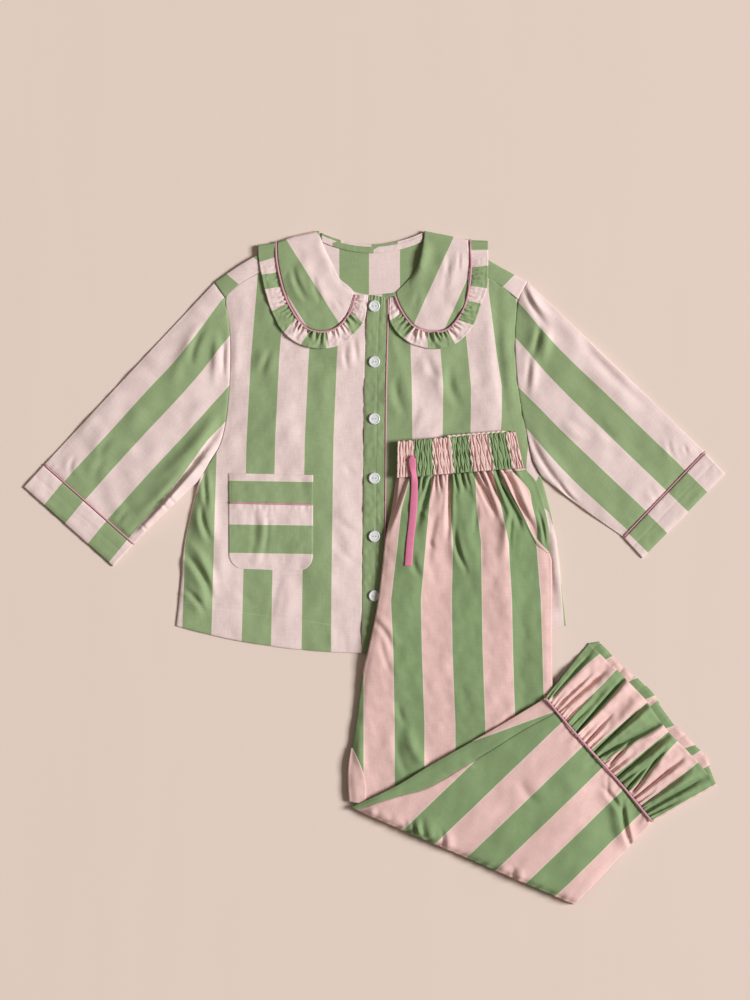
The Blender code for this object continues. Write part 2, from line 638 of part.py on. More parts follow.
def collar_ruffle(cover):
    """The gathered ruffle round the collar; its waves fade over the shoulders and lie flat behind."""
    top = COLLAR_LIFT + FOLD_HEIGHT + SEAM + CLOTH + 0.4
    rows = []
    per_wave = 4

    def trim(inner, outer):
        """Leave the piping's slot between the collar and the ruffle."""
        return inner + (outer - inner) / np.linalg.norm(outer - inner) * 2 * PIPING_SEAM

    def front_rows(seam, edge):
        out = []
        total = COLLAR_GATHERS * per_wave
        for k in range(total):
            s = 0.97 * k / total
            a, b = seam(s), edge(s)
            a = trim(a, b)
            fade = min(1.0, (1 - s) * 8)
            wave = 0.5 - 0.5 * math.cos(2 * math.pi * k / per_wave)
            row = []
            for share, swell in ((0.0, 0.5), (0.5, 1.6), (1.0, 2.6)):
                x, y = a + (b - a) * share
                z = cover(x, y) + SEAM + CLOTH + 0.3 + swell * wave * fade
                row.append((x, y, z))
            out.append(row)
        return out

    def fold_rows(seam, edge):
        a, b = seam(1), edge(1)
        a = trim(a, b)
        return over_shoulder([a, (a + b) / 2, b], top)

    seam_left, edge_left = path(COLLAR_OUT_LEFT), path(RUFFLE_OUT_LEFT)
    seam_right, edge_right = path(COLLAR_OUT_RIGHT), path(RUFFLE_OUT_RIGHT)
    seam_back = back_curve(COLLAR_HALF, COLLAR_BACK)
    edge_back = back_curve(COLLAR_HALF + RUFFLE_WIDTH, COLLAR_BACK + RUFFLE_WIDTH)
    rows += front_rows(seam_left, edge_left)
    rows += fold_rows(seam_left, edge_left)
    total = BACK_GATHERS * 2
    for k in range(total + 1):
        s = 0.1 + 0.8 * k / total
        a, b = seam_back(s), edge_back(s)
        a = trim(a, b)
        lift = 0.8 * (k % 2) * (0 < k < total)
        rows.append([(*(a + (b - a) * share), lift * share) for share in (0.0, 0.5, 1.0)])
    rows += fold_rows(seam_right, edge_right)[::-1]
    rows += front_rows(seam_right, edge_right)[::-1]
    return wall("collar_ruffle", rows, CLOTH, PINK, 1)


def neck_binding(cover):
    """Bias binding on the inside of the back neck."""
    rows = []
    for depth in (13.0, 3.0):
        row = []
        for i in range(9):
            x = -76 + 144 * i / 8
            y = neck_y(x) - depth
            row.append((x, y, cover(x, y) + SEAM))
        rows.append(row)
    return slab("neck_binding", rows, CLOTH, GREEN)


def placket(cover):
    """The button band over the right front's edge."""
    shares = [k / 20 for k in range(21)]
    left = resample([Place(p.x + SEAM, p.y) for p in PLACKET_LEFT], shares)
    right = resample([Place(p.x - SEAM, p.y) for p in PLACKET_RIGHT], shares)
    across = [0.0, 0.33, 0.67, 1.0]
    top = resample((left[-1], right[-1]), across)
    rows = patch(hem_edge(left[0].x, right[0].x, across), top, left, right)
    return slab("placket", [[(x, y, cover(x, y) + SEAM) for x, y in row] for row in rows], CLOTH, GREEN)


def placket_piping(cover):
    """Piping in the placket's free edge."""
    line = path([Place(p.x + 1.9, p.y) for p in PLACKET_RIGHT])
    points = []
    for i in range(19):
        x, y = line(0.004 + 0.99 * i / 18)
        points.append((x, y, cover(x, y) + SEAM + PIPING_RADIUS))
    return piping("placket_piping", points)


def pocket(cover):
    """The patch pocket with its turned band on top and round lower corners."""
    left, right = np.array(POCKET[0]), np.array(POCKET[1])
    half = (right[0] - left[0]) / 2
    depths = (0.0, 26.0, POCKET_BAND, POCKET_BAND + 1.0, 90.0, 115.0, 129.0, 139.0, 147.0, POCKET_DROP)
    rows = []
    for depth in depths:
        past = max(0.0, depth - (POCKET_DROP - POCKET_CORNER))
        tuck = POCKET_CORNER - math.sqrt(max(0.0, POCKET_CORNER ** 2 - past ** 2))
        row = []
        for i in range(8):
            u = -1 + 2 * i / 7
            x = (left[0] + right[0]) / 2 + u * (half - tuck)
            y = left[1] + (right[1] - left[1]) * (u + 1) / 2 - depth
            swell = 1.2 * hump((u + 1) / 2, 1.0) * hump(depth / POCKET_DROP, 1.0)
            band = 0.6 if depth <= POCKET_BAND else 0.0
            row.append((x, y, cover(x, y) + SEAM + swell + band))
        rows.append(row)
    return slab("chest_pocket", rows[::-1], CLOTH, PINK)


def button(name, x, y, cover):
    """A turned button with a rim and two holes."""
    profile = ((0.0, BUTTON_HEIGHT * 0.66), (5.6, BUTTON_HEIGHT * 0.66), (6.6, BUTTON_HEIGHT),
               (BUTTON_RADIUS - 0.7, BUTTON_HEIGHT), (BUTTON_RADIUS, BUTTON_HEIGHT * 0.55),
               (BUTTON_RADIUS - 1.2, 0.0), (0.0, 0.0))
    mesh = bpy.data.meshes.new(name)
    mesh.from_pydata([(px * MM, 0.0, pz * MM) for px, pz in profile],
                     [(i, i + 1) for i in range(len(profile) - 1)], [])
    mesh.materials.append(material(name, WHITE, 0.35))
    item = bpy.data.objects.new(name, mesh)
    scene_parts.objects.link(item)
    item.location = (x * MM, y * MM, (cover(x, y) + SEAM) * MM)
    turn = item.modifiers.new("turn", "SCREW")
    turn.steps = 16
    turn.render_steps = 16
    turn.use_merge_vertices = True
    turn.merge_threshold = 0.00005
    return item


def trousers_layers(cover):
    """The hidden legs, from the waist down to the fold."""
    left, right = trouser_edges(EDGE_INSET)
    shares = [0.0, 0.04, 0.1, 0.17, 0.24, 0.31, 0.38, 0.44, 0.5, 0.56, 0.62, 0.68, 0.76, 0.86, 0.96]

    def base(x, y):
        return cover(x, y) + 3 * SEAM
    return layered("trousers_layers", left, right, base, LEG_LAYERS, GREEN, shares)


def trouser_edges(inset):
    """The trousers' two long edges from the waist to the fold, as functions of one share."""
    left = path((WAIST[0],) + LEG_LEFT)
    right = path((WAIST[1],) + LEG_RIGHT)

    def inner_left(share):
        return left(share) + np.array([inset, 0.0])

    def inner_right(share):
        return right(share) - np.array([inset, 0.0])
    return inner_left, inner_right


def trousers_leg(cover):
    """The top leg from the waist seam to the fold, gathered under the waistband."""
    shares = (1.0, 0.98, 0.95, 0.91, 0.86, 0.8, 0.72, 0.63, 0.54, 0.45, 0.36, 0.27, 0.18, 0.09, 0.0)
    across = [i / 20 for i in range(21)]
    left = resample(LEG_LEFT[:-1] + (Place(-38, -371),), shares)
    right = resample(LEG_RIGHT[:-1] + (Place(318, -522),), shares)
    seam = resample([Place(p.x, p.y - SEAM) for p in WAIST_SEAM], across)
    rows = []
    for row in patch(resample((left[0], right[0]), across), seam, left, right):
        line = []
        for i, (x, y) in enumerate(row):
            air = max(0.0, 1.6 + relief(x, y, LEG_FOLDS)) * hump(across[i], 0.5)
            line.append((x, y, cover(x, y) + SEAM + air))
        rows.append(line)
    return slab("trousers_leg", rows, LEG_CLOTH, GREEN)


def waistband(cover):
    """The shirred waistband: puckers all along it, drawn in at the elastic's rows."""
    top = path(WAIST)
    seam = path(WAIST_SEAM)
    rows = []
    levels = ((0.0, 1.2), (0.33, 2.4), (0.66, 1.9), (1.0, 2.6))
    for share, swell in levels:
        row = []
        for k in range(WAIST_PUCKERS * 2 + 1):
            w = k / (WAIST_PUCKERS * 2)
            x, y = (1 - share) * seam(w) + share * top(w)
            row.append((x, y, cover(x, y) + SEAM + swell * (k % 2)))
        rows.append(row)
    return slab("waistband", rows, CLOTH, PINK)


def folded_edges(inset):
    """The folded lower leg's edges from the crease to its end."""
    top, low = path(FOLDED_TOP), path(FOLDED_LOW)

    def inner_top(share):
        a, b = top(share), low(share)
        return a + (b - a) / np.linalg.norm(b - a) * inset

    def inner_low(share):
        a, b = low(share), top(share)
        return a + (b - a) / np.linalg.norm(b - a) * inset
    return inner_top, inner_low


def lower_leg_layers(cover):
    """The hidden layers of the folded lower legs."""
    left, right = folded_edges(EDGE_INSET)
    shares = [0.1 + 0.885 * i / 11 for i in range(12)]

    def base(x, y):
        return cover(x, y) + SEAM
    return layered("lower_leg_layers", left, right, base, FOLDED_LAYERS, GREEN, shares, across=9)


def lower_leg(cover):
    """The leg's lower half: from under the fold, round it and up to the leg's end."""
    across = [i / 11 for i in range(12)]
    crease = resample(CREASE, across)
    end = resample(LEG_END, across)
    end = [Place(*(np.array(e) - 2.0 * (np.array(e) - c) / np.linalg.norm(np.array(e) - c)))
           for e, c in zip(end, crease)]
    shares = [j / 10 for j in range(11)]
    top = resample(FOLDED_TOP[:-1] + (end[0],), shares)
    low = resample(FOLDED_LOW[:-1] + (end[-1],), shares)
    run = np.array(CREASE[1]) - np.array(CREASE[0])
    out = np.array([run[1], -run[0]]) / np.linalg.norm(run)
    rows = []
    for offset, angle in ((3.0, -90), (0.0, -90), (0.0, -45), (0.0, 0), (0.0, 45)):
        turn = math.radians(angle)
        row = []
        for share, plan in zip(across, crease):
            radius = CREASE_RADIUS * (0.4 + 0.6 * min(1.0, 5 * share))
            height = cover(*(plan - out * 14.0)) + SEAM + LEG_CLOTH + 0.5
            x, y = np.array(plan) + out * (radius * math.cos(turn) - radius - offset)
            row.append((x, y, height / 2 + height / 2 * math.sin(turn)))
        rows.append(row)
    for j, plan in enumerate(patch(crease, end, top, low)):
        row = []
        for i, p in enumerate(plan):
            p = p - out * (CREASE_RADIUS * (0.4 + 0.6 * min(1.0, 5 * across[i])) if j == 0 else 0.0)
            air = 1.2 * hump(across[i], 0.5) * hump(shares[j], 1.0)
            near = cover(*(p - out * 14.0)) if j == 0 else cover(*p)
            row.append((p[0], p[1], near + SEAM + LEG_CLOTH + 0.5 + air))
        rows.append(row)
    return wall("lower_leg", rows, LEG_CLOTH, PINK, -1)


def leg_end_height(x, y, under):
    """Top of the leg's end above what it lies on."""
    return under(x, y) + SEAM + FOLDED_LAYERS + SEAM + LEG_CLOTH


def leg_ruffle(under):
    """The gathered ruffle round the leg's end: a flattened, waving open tube."""
    seam, edge = path(LEG_END), path(RUFFLE_END)
    columns = LEG_GATHERS * 4
    rows = []
    for share in (0.0, 0.45, 1.0):
        over, below = [], []
        for k in range(columns + 1):
            w = k / columns
            a, b = seam(w), edge(w)
            way = (b - a) / np.linalg.norm(b - a)
            a = a + way * PIPING_SEAM
            wave = 0.5 - 0.5 * math.cos(2 * math.pi * k / 4)
            ends = min(1.0, 6 * w, 6 * (1 - w))
            swell = (2.4 + 4.2 * share) * wave * ends
            x, y = a + (b - a) * share
            floor = under(x, y)
            thick = (FOLDED_LAYERS + LEG_CLOTH + SEAM) * (1 - share) + 4.6 * share
            over.append((x, y, floor + SEAM + max(thick * (0.45 + 0.55 * ends), 4.0) + swell))
            back = b + (b - a) / np.linalg.norm(b - a) * 9.0 * ends
            x, y = a + (back - a) * share
            below.append((x, y, under(x, y) + (0.8 * share * wave * ends)))
        rows.append(below + over[::-1])
    return wall("leg_ruffle", rows, CLOTH, PINK, 1, ring=True)


def leg_piping(under):
    """Piping in the seam between the lower leg and its ruffle."""
    line = path(LEG_END)
    points = []
    for i in range(13):
        x, y = line(0.005 + 0.99 * i / 12)
        points.append((x, y, leg_end_height(x, y, under) - 0.2))
    return piping("leg_piping", points)


def drawstring(cover):
    """One flat tape end, from the waistband's eyelet down over the leg."""
    line = path(TAPE)
    rows = []
    count = 22
    for k in range(count + 1):
        s = k / count
        here, ahead = line(s), line(min(1.0, s + 0.01)) - line(max(0.0, s - 0.01))
        way = ahead / np.linalg.norm(ahead)
        side = np.array([way[1], -way[0]])
        z = max(cover(*(here + side * t * TAPE_WIDTH / 2)) for t in (-1, 0, 1)) + SEAM
        rows.append([(*(here + side * t * TAPE_WIDTH / 2), z) for t in (-1, 0, 1)])
    return slab("drawstring", rows, TAPE_THICK, ROSE)


def clear_scene():
    """Start from nothing."""
    for item in list(bpy.data.objects):
        bpy.data.objects.remove(item, do_unlink=True)


def build():
    """Lay the pieces down in order."""
    clear_scene()
    bpy.context.scene.collection.children.link(scene_parts)
    pile = Pile()
    pile.add(shirt_back())
    neck_binding(pile.spread(6, 0.6))
    seam_left = [Place(p.x, p.y - 0.7) for p in yoke_ends(SHOULDER_LEFT, ARMHOLE_LEFT)]
    seam_right = [Place(p.x, p.y - 0.7) for p in yoke_ends(SHOULDER_RIGHT, ARMHOLE_RIGHT)]
    sides_left = SIDE_LEFT[:-1] + ARMHOLE_LEFT[:-2] + (seam_left[0],)
    sides_right = SIDE_RIGHT[:-1] + ARMHOLE_RIGHT[:-2] + (seam_right[-1],)
    placket_seam = resample([Place(p.x - SEAM, p.y) for p in PLACKET_LEFT], lengths(sides_left))
    underlap = resample(UNDERLAP, lengths(sides_right))
    left = front("shirt_front_left", seam_left[:-1] + list(NECK_LEFT[:-1]) + [placket_seam[-1]],
                 sides_left, placket_seam, GREEN)
    right = front("shirt_front_right", [underlap[-1]] + list(NECK_RIGHT[1:]) + seam_right[1:],
                  underlap, sides_right, PINK)
    pile.add(left, right)
    pile.add(sleeve("sleeve_left", ARMHOLE_LEFT, SLEEVE_TOP_LEFT, SLEEVE_LOW_LEFT, PINK, -1))
    pile.add(sleeve("sleeve_right", ARMHOLE_RIGHT, SLEEVE_TOP_RIGHT, SLEEVE_LOW_RIGHT, PINK, 1))
    wrists = ((SLEEVE_TOP_LEFT[-1], SLEEVE_LOW_LEFT[-1]), (SLEEVE_TOP_RIGHT[-1], SLEEVE_LOW_RIGHT[-1]))
    cuff("cuff_left", wrists[0], CUFF_LEFT, GREEN, -1)
    cuff("cuff_right", wrists[1], CUFF_RIGHT, GREEN, 1)
    cuff_piping("cuff_piping_left", wrists[0])
    cuff_piping("cuff_piping_right", wrists[1])
    on_fronts = pile.spread(12, 0.6, 9)
    pile.add(placket(on_fronts), placket_piping(on_fronts), pocket(on_fronts))
    on_placket = pile.spread(9, 0.6)
    for k, y in enumerate(BUTTON_ROWS):
        pile.add(button(f"button_{k + 1}", 0.0, y, on_placket))
    on_shirt = pile.spread(12, 0.6, 9)
    pile.add(collar(on_shirt), collar_piping(on_shirt), collar_ruffle(on_shirt))
    pile.add(trousers_layers(pile.spread(75, 0.25, 30)))
    pile.add(trousers_leg(pile.spread(24, 0.8, 15)))
    pile.add(waistband(pile.spread(9, 0.9, 6)))
    under_fold = pile.spread(75, 0.3, 24)
    drawstring(pile.spread(15, 0.6, 9))
    pile.add(lower_leg_layers(under_fold))
    lower_leg(pile.spread(24, 0.8, 15))
    leg_ruffle(under_fold)
    leg_piping(under_fold)


build()
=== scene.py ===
"""The looks of a pyjama set laid flat: striped cotton, gathers, piping, buttons and stitches.

Places and sizes are in millimetres, +X to the right, +Y towards the neck and +Z up from the
surface, and are scaled to metres when a mesh is made. A piece of cloth is a grid of rows; each
point of it holds x, y, z, its stripe and its place along the stripe. Even stripes are pink, odd
ones green. Heights come from the solids that the pieces stand for.
"""
import math
from typing import NamedTuple

import bpy
import numpy as np
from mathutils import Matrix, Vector
from mathutils.bvhtree import BVHTree


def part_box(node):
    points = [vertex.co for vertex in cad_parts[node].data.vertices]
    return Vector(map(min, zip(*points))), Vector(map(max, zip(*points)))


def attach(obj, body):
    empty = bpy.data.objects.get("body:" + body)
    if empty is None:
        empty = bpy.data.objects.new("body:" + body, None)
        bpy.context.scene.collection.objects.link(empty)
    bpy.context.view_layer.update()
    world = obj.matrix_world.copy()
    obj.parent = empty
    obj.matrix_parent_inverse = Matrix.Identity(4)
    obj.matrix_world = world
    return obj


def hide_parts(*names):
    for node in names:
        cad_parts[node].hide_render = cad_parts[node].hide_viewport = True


MM = 0.001
STRIPE = 47.0           # width of one stripe
SIDE_SHOW = 2.2         # how far the back shows past the front's left side
THICK = 0.6             # the cotton with its turnings
SEAM = 0.4              # air between pieces that lie on each other
PIPING_SEAM = 2.5       # half the slot that piping fills
CREASE_GAIN = 2.0       # for all creases
CRUMPLE_GAIN = 1.9      # for all low waves
WAVES = 8               # low waves that add up to a crumple
CLOTH_LOW = 2.0         # the lowest top of cloth that lies on the back
TUBE_LOW = 0.25         # the underside of sleeves and cuffs
HEM_LINE = 47.0         # the hem's stitches, above its edge
HOLE_APART = 2.4        # a button's holes, from its middle
HOLE_RADIUS = 1.25

# Colours, in linear light
GREEN = (0.264, 0.345, 0.168)
GREEN_TROUSERS = (0.215, 0.299, 0.137)
PINK = (0.752, 0.588, 0.546)
PINK_TROUSERS = (0.715, 0.474, 0.422)
CREAM = (0.800, 0.700, 0.560)
ROSE = (0.620, 0.143, 0.272)
ROSE_PALE = (0.710, 0.250, 0.335)
PIPING = (0.530, 0.232, 0.292)
PIPING_PALE = (0.640, 0.350, 0.372)
WHITE = (0.640, 0.655, 0.640)
WHITE_CLOUD = (0.740, 0.740, 0.720)
THREAD = (0.720, 0.680, 0.580)
THREAD_PALE = (0.800, 0.760, 0.680)
# SHADOW and SHADOW_PALE are painted shade: dark seam lines and dots over button holes
SHADOW = (0.170, 0.200, 0.110)
SHADOW_PALE = (0.250, 0.270, 0.170)
FLOOR = (0.760, 0.622, 0.530)


class Place(NamedTuple):
    """One point of an outline, seen from above."""
    x: float
    y: float


class Crease(NamedTuple):
    """A soft ridge, or a trough where the height is negative; bow bends it to its right."""
    x0: float
    y0: float
    x1: float
    y1: float
    bow: float
    height: float
    width: float


class Tuck(NamedTuple):
    """A fold that starts at a seam, deep and narrow, and fades as it widens."""
    x0: float
    y0: float
    x1: float
    y1: float
    height: float
    start: float
    end: float


class Stripes(NamedTuple):
    """Where a panel's stripes lie at one height: a boundary, and the width of a stripe."""
    y: float
    edge: float
    width: float


class Pleat(NamedTuple):
    """A fold of the leg's ruffle: its places along seam and edge, its depth, width and reach."""
    seam: float
    edge: float
    depth: float
    width: float
    start: float
    end: float


def table(kind, *rows):
    """Rows of numbers as tuples of one kind, whose fields are the columns."""
    return tuple(kind(*row) for row in rows)


# ---------------------------------------------------------------- outlines, as in the solids
HEM_LOW = -137.0
HEM_RISE = 44.0
HEM_HALF = 314.0
CENTRE = -4.0
YOKE_DEPTH = 29.0
FOLD_HEIGHT = 3.4
COLLAR_LIFT = 3.4
NECK_BACK = 515.0
NECK_RISE = 20.0
NECK_HALF = 84.0
COLLAR_HALF = 153.0
COLLAR_CENTRE = 520.0
COLLAR_BACK = 80.0
RUFFLE_WIDTH = 28.0

SHOULDER_LEFT = table(Place, (-255, 457), (-215, 484), (-172, 508), (-130, 526), (-88, 535))
SHOULDER_RIGHT = table(Place, (80, 534), (115, 527), (158, 506), (201, 481), (244, 458))
ARMHOLE_LEFT = table(
    Place, (-279, 140), (-262, 170), (-246, 198), (-237, 236), (-232, 285), (-230, 338), (-232, 388),
    (-240, 433), (-255, 457))
ARMHOLE_RIGHT = table(
    Place, (266, 146), (252, 175), (244, 212), (236, 248), (229, 292), (225, 340), (225, 386), (230, 430),
    (244, 458))
SIDE_LEFT = table(Place, (-316, -93), (-308, -20), (-303, 38), (-290, 96), (-279, 140))
SIDE_RIGHT = table(Place, (306, -92), (300, -39), (294, 19), (283, 80), (266, 146))
NECK_LEFT = table(Place, (-82, 505), (-70, 483), (-59, 462), (-45, 449), (-28, 441), (-9, 438))
NECK_RIGHT = table(Place, (-3, 436), (16, 438), (37, 441), (56, 459), (70, 477), (77, 503))
PLACKET_LEFT = table(Place, (-20.5, -136), (-17, 160), (-16, 286), (-13, 387), (-8, 436))
PLACKET_RIGHT = table(Place, (14.5, -136), (16.5, 142), (17.5, 286), (20, 387), (20.5, 432))
UNDERLAP = table(Place, (-15, -136), (-12, 160), (-10, 286), (-8, 387), (-3, 436))

SLEEVE_TOP_LEFT = table(Place, (-255, 457), (-393, 310), (-528, 165))
SLEEVE_LOW_LEFT = table(Place, (-279, 140), (-324, 97), (-385, 38))
CUFF_LEFT = table(Place, (-561, 129), (-418, 2))
SLEEVE_TOP_RIGHT = table(Place, (244, 458), (390, 319), (528, 185))
SLEEVE_LOW_RIGHT = table(Place, (266, 146), (331, 96), (398, 49))
CUFF_RIGHT = table(Place, (561, 150), (429, 15))

COLLAR_IN_LEFT = table(Place, (-34, 443), (-42, 451), (-56, 463), (-66, 484), (-79, 511), (-88, 533))
COLLAR_OUT_LEFT = table(
    Place, (-33, 436), (-40, 412), (-56, 390), (-72, 381), (-90, 379), (-109, 385), (-122, 399),
    (-138, 428), (-148, 460), (-154, 492), (-155, 515))
COLLAR_IN_RIGHT = table(Place, (36, 441), (53, 459), (67, 476), (74, 500), (80, 532))
COLLAR_OUT_RIGHT = table(
    Place, (36, 434), (44, 415), (60, 392), (75, 382), (96, 379), (116, 383), (131, 398), (144, 423),
    (150, 455), (152, 489), (150, 510))
RUFFLE_OUT_LEFT = table(
    Place, (-9, 436), (-12, 414), (-17, 393), (-34, 372), (-45, 361), (-71, 351), (-98, 351), (-122, 358),
    (-148, 379), (-165, 412), (-175, 444), (-182, 475), (-186, 499))
RUFFLE_OUT_RIGHT = table(
    Place, (25, 432), (24, 399), (35, 377), (57, 359), (88, 350), (111, 351), (136, 362), (158, 387),
    (171, 422), (180, 446), (182, 478), (182, 507))
COLLAR_FOLD = table(
    Place, (-186, 514), (-158, 518), (-130, 528), (-88, 537), (80, 537), (115, 530), (151, 522), (182, 521))

POCKET = table(Place, (-233, 151), (-98, 148))
POCKET_DROP = 153.0
POCKET_BAND = 48.0
POCKET_CORNER = 24.0

WAIST = table(Place, (37.5, 201), (225, 217))
WAIST_SEAM = table(Place, (36.5, 144), (238, 160))
LEG_LEFT = table(
    Place, (36, 142), (28, 89), (19, 47), (14, 4), (6.5, -57), (-8, -128), (-17, -166), (-28, -246),
    (-36, -296), (-41, -330), (-38, -371))
LEG_RIGHT = table(
    Place, (238, 160), (256, 134), (271, 89), (279, 25), (283, -7), (284, -190), (296, -380), (318, -522))
CREASE = table(Place, (-37, -383), (319, -537))
FOLDED_TOP = table(Place, (-37, -383), (34, -349), (90, -315), (176, -266), (244, -226), (273, -208))
FOLDED_LOW = table(Place, (319, -537), (372, -483), (444, -406))
LEG_END = table(Place, (273, -208), (324, -268), (388, -339), (444, -406))
RUFFLE_END = table(Place, (344, -121), (387, -165), (435, -215), (472, -265), (518, -311), (547, -347))
LEG_SEAM = table(Place, (2, -376), (44, -363), (89, -349), (171, -300), (240, -257))
POCKET_OPENING = table(Place, (199, 151), (219, 119), (242, 75), (257.7, 46.6), (279.7, 23.5))
FACING_STRIPE = table(Place, (219, 155), (246, 125), (251.5, 100), (258.8, 68.5), (259.2, 45.5))
LEG_RIDGE = table(Place, (57, 144), (42, 100), (21, 46))
LEG_DROP = 7.5
RUFFLE_RUN = 275.0      # a length between those of the leg ruffle's seam and edge
TAPE = table(Place, (60, 179), (61.5, 159), (64, 139), (62, 89), (57, 41), (54, 3))
TAPE_WIDTH = 12.0
TAPE_THICK = 1.0

# ---------------------------------------------------------------- stripes
LEFT_STRIPES = table(
    Stripes, (-140, -20.6, 48.1), (-31, -20.6, 47.4), (204, -18.2, 46.6), (335, -13.2, 46.1),
    (460, -3.9, 45.8))
RIGHT_ROWS = (-137, -87, 0, 46, 68, 89, 98, 112, 133, 169, 240, 290, 345, 442)
RIGHT_BOUNDARIES = ((14, 14, 14, 14, 14, 14, 14, 14, 14, 14, 14, 14, 12, 12),
                    (62, 62, 62, 62, 62, 62, 62, 62, 62, 62, 61, 60.5, 58.6, 55.6),
                    (109.5, 109.5, 108, 107, 107, 107, 107, 107, 107, 108, 109.4, 109.8, 105.7, 98),
                    (157, 157, 154, 152, 152, 152, 152, 152, 152, 153.5, 154.8, 155, 149.7, 140),
                    (204.5, 204.5, 200, 197, 197, 197, 197, 197, 197, 199, 203.4, 203.6, 195, 182.5),
                    (252, 252, 246, 243, 243, 243, 243, 243, 243, 244.2, 250.9, 251.3, 240.4, 225),
                    (304, 302.8, 296, 290, 285, 278, 268, 261, 256, 272, 298, 299, 286, 267.5),
                    (350, 350, 344, 336, 336, 335, 335, 334, 330, 330, 345, 346, 330, 310))
# The pink strip along the left side seam: its width at some heights
SIDE_STRIP_ROWS = (-140, -95, 10, 72, 125, 146, 160)
SIDE_STRIP = (4.5, 4.0, 1.0, 1.4, 3.0, 5.5, 0.0)
# Boundaries across a sleeve, square to it, at shares of its length
SLEEVE_SHARES = (0.03, 0.15, 0.30, 0.50, 0.75, 0.95)
SLEEVE_LEFT_BOUNDARIES = (
    (-510, -506, -504, -507, -509, -511), (-465.8, -460.0, -457.2, -460.6, -462.2, -465.1),
    (-417.6, -413.6, -413.3, -416.2, -418.9, -419.7), (-366.3, -366.9, -367.7, -370.2, -372.1, -372.8),
    (-332.6, -335.5, -329.3, -326.5, -327.4, -327.0), (-286, -286, -284, -282, -281, -280))
SLEEVE_RIGHT_BOUNDARIES = (
    (-510, -505, -503, -504, -505, -506), (-464.7, -458.2, -456.1, -458.0, -458.6, -459.5),
    (-420.4, -414.5, -412.6, -412.8, -413.3, -414.2), (-367.1, -367.2, -365.8, -366.8, -367.9, -369.1),
    (-329.0, -324.7, -322.2, -321.9, -324.0, -325.7), (-282, -279, -278, -277, -278, -279))
SLEEVE_LEFT_SQUARE = (0.755, -0.656)
SLEEVE_RIGHT_SQUARE = (-0.70, -0.713)
CUFF_LEFT_SQUARE = (0.776, -0.630)
CUFF_LEFT_BOUNDARIES = (-519, -473.1, -427.7, -380, -334.1, -288)
CUFF_RIGHT_BOUNDARIES = (-505, -459.5, -414.6, -368, -323.1, -276)
RUFFLE_LEFT_SEAM = (0.0, 0.111, 0.179, 0.311, 0.414, 0.531, 0.63, 0.744, 0.838, 0.931, 1.06)
RUFFLE_LEFT_EDGE = (0.0, 0.14, 0.216, 0.365, 0.496, 0.595, 0.72, 0.83, 0.905, 0.965, 1.06)
RUFFLE_RIGHT_SEAM = (0.0, 0.112, 0.232, 0.315, 0.443, 0.534, 0.668, 0.765, 0.883, 0.974, 1.06)
RUFFLE_RIGHT_EDGE = (0.0, 0.113, 0.228, 0.356, 0.496, 0.621, 0.735, 0.813, 0.927, 0.992, 1.06)
WAIST_STRIPES = (0.0, 0.137, 0.293, 0.451, 0.601, 0.77, 0.918, 1.06)
LEG_ROWS = (-520, -251.8, -131.8, -51.8, 41, 95, 138.6, 158)
LEG_BOUNDARIES = (
    (-16.6, -16.6, -17, -20, -10, -4, 12, 20), (32.1, 32.1, 30, 26.3, 37.4, 43, 55.6, 57),
    (80.6, 80.6, 76.4, 74.8, 82.8, 88, 91.6, 91.6), (129.2, 129.2, 124.4, 123.4, 125.2, 121, 121.2, 121.2),
    (177.8, 177.8, 173.4, 172.1, 170.8, 164, 162, 160), (224.9, 224.9, 221, 219.3, 214, 203, 191.6, 189),
    (272.1, 272.1, 268.9, 266.3, 258.8, 232, 204.4, 200), (319, 319, 316, 313, 305, 300, 290, 286))
LOWER_SQUARE = (0.692, -0.721)
LOWER_BOUNDARIES = (250, 333, 385, 435, 482.7, 530, 578, 626)
LEG_RUFFLE_SEAM = (-0.1, 0.027, 0.192, 0.296, 0.422, 0.527, 0.635, 0.768, 0.879, 0.992, 1.1)
LEG_RUFFLE_EDGE = (-0.1, 0.078, 0.195, 0.275, 0.43, 0.578, 0.628, 0.689, 0.85, 0.996, 1.1)
LEG_RUFFLE_BACK = (-0.1, 0.144, 0.30, 0.43, 0.464, 0.623, 0.757, 0.807, 0.89, 1.02, 1.1)
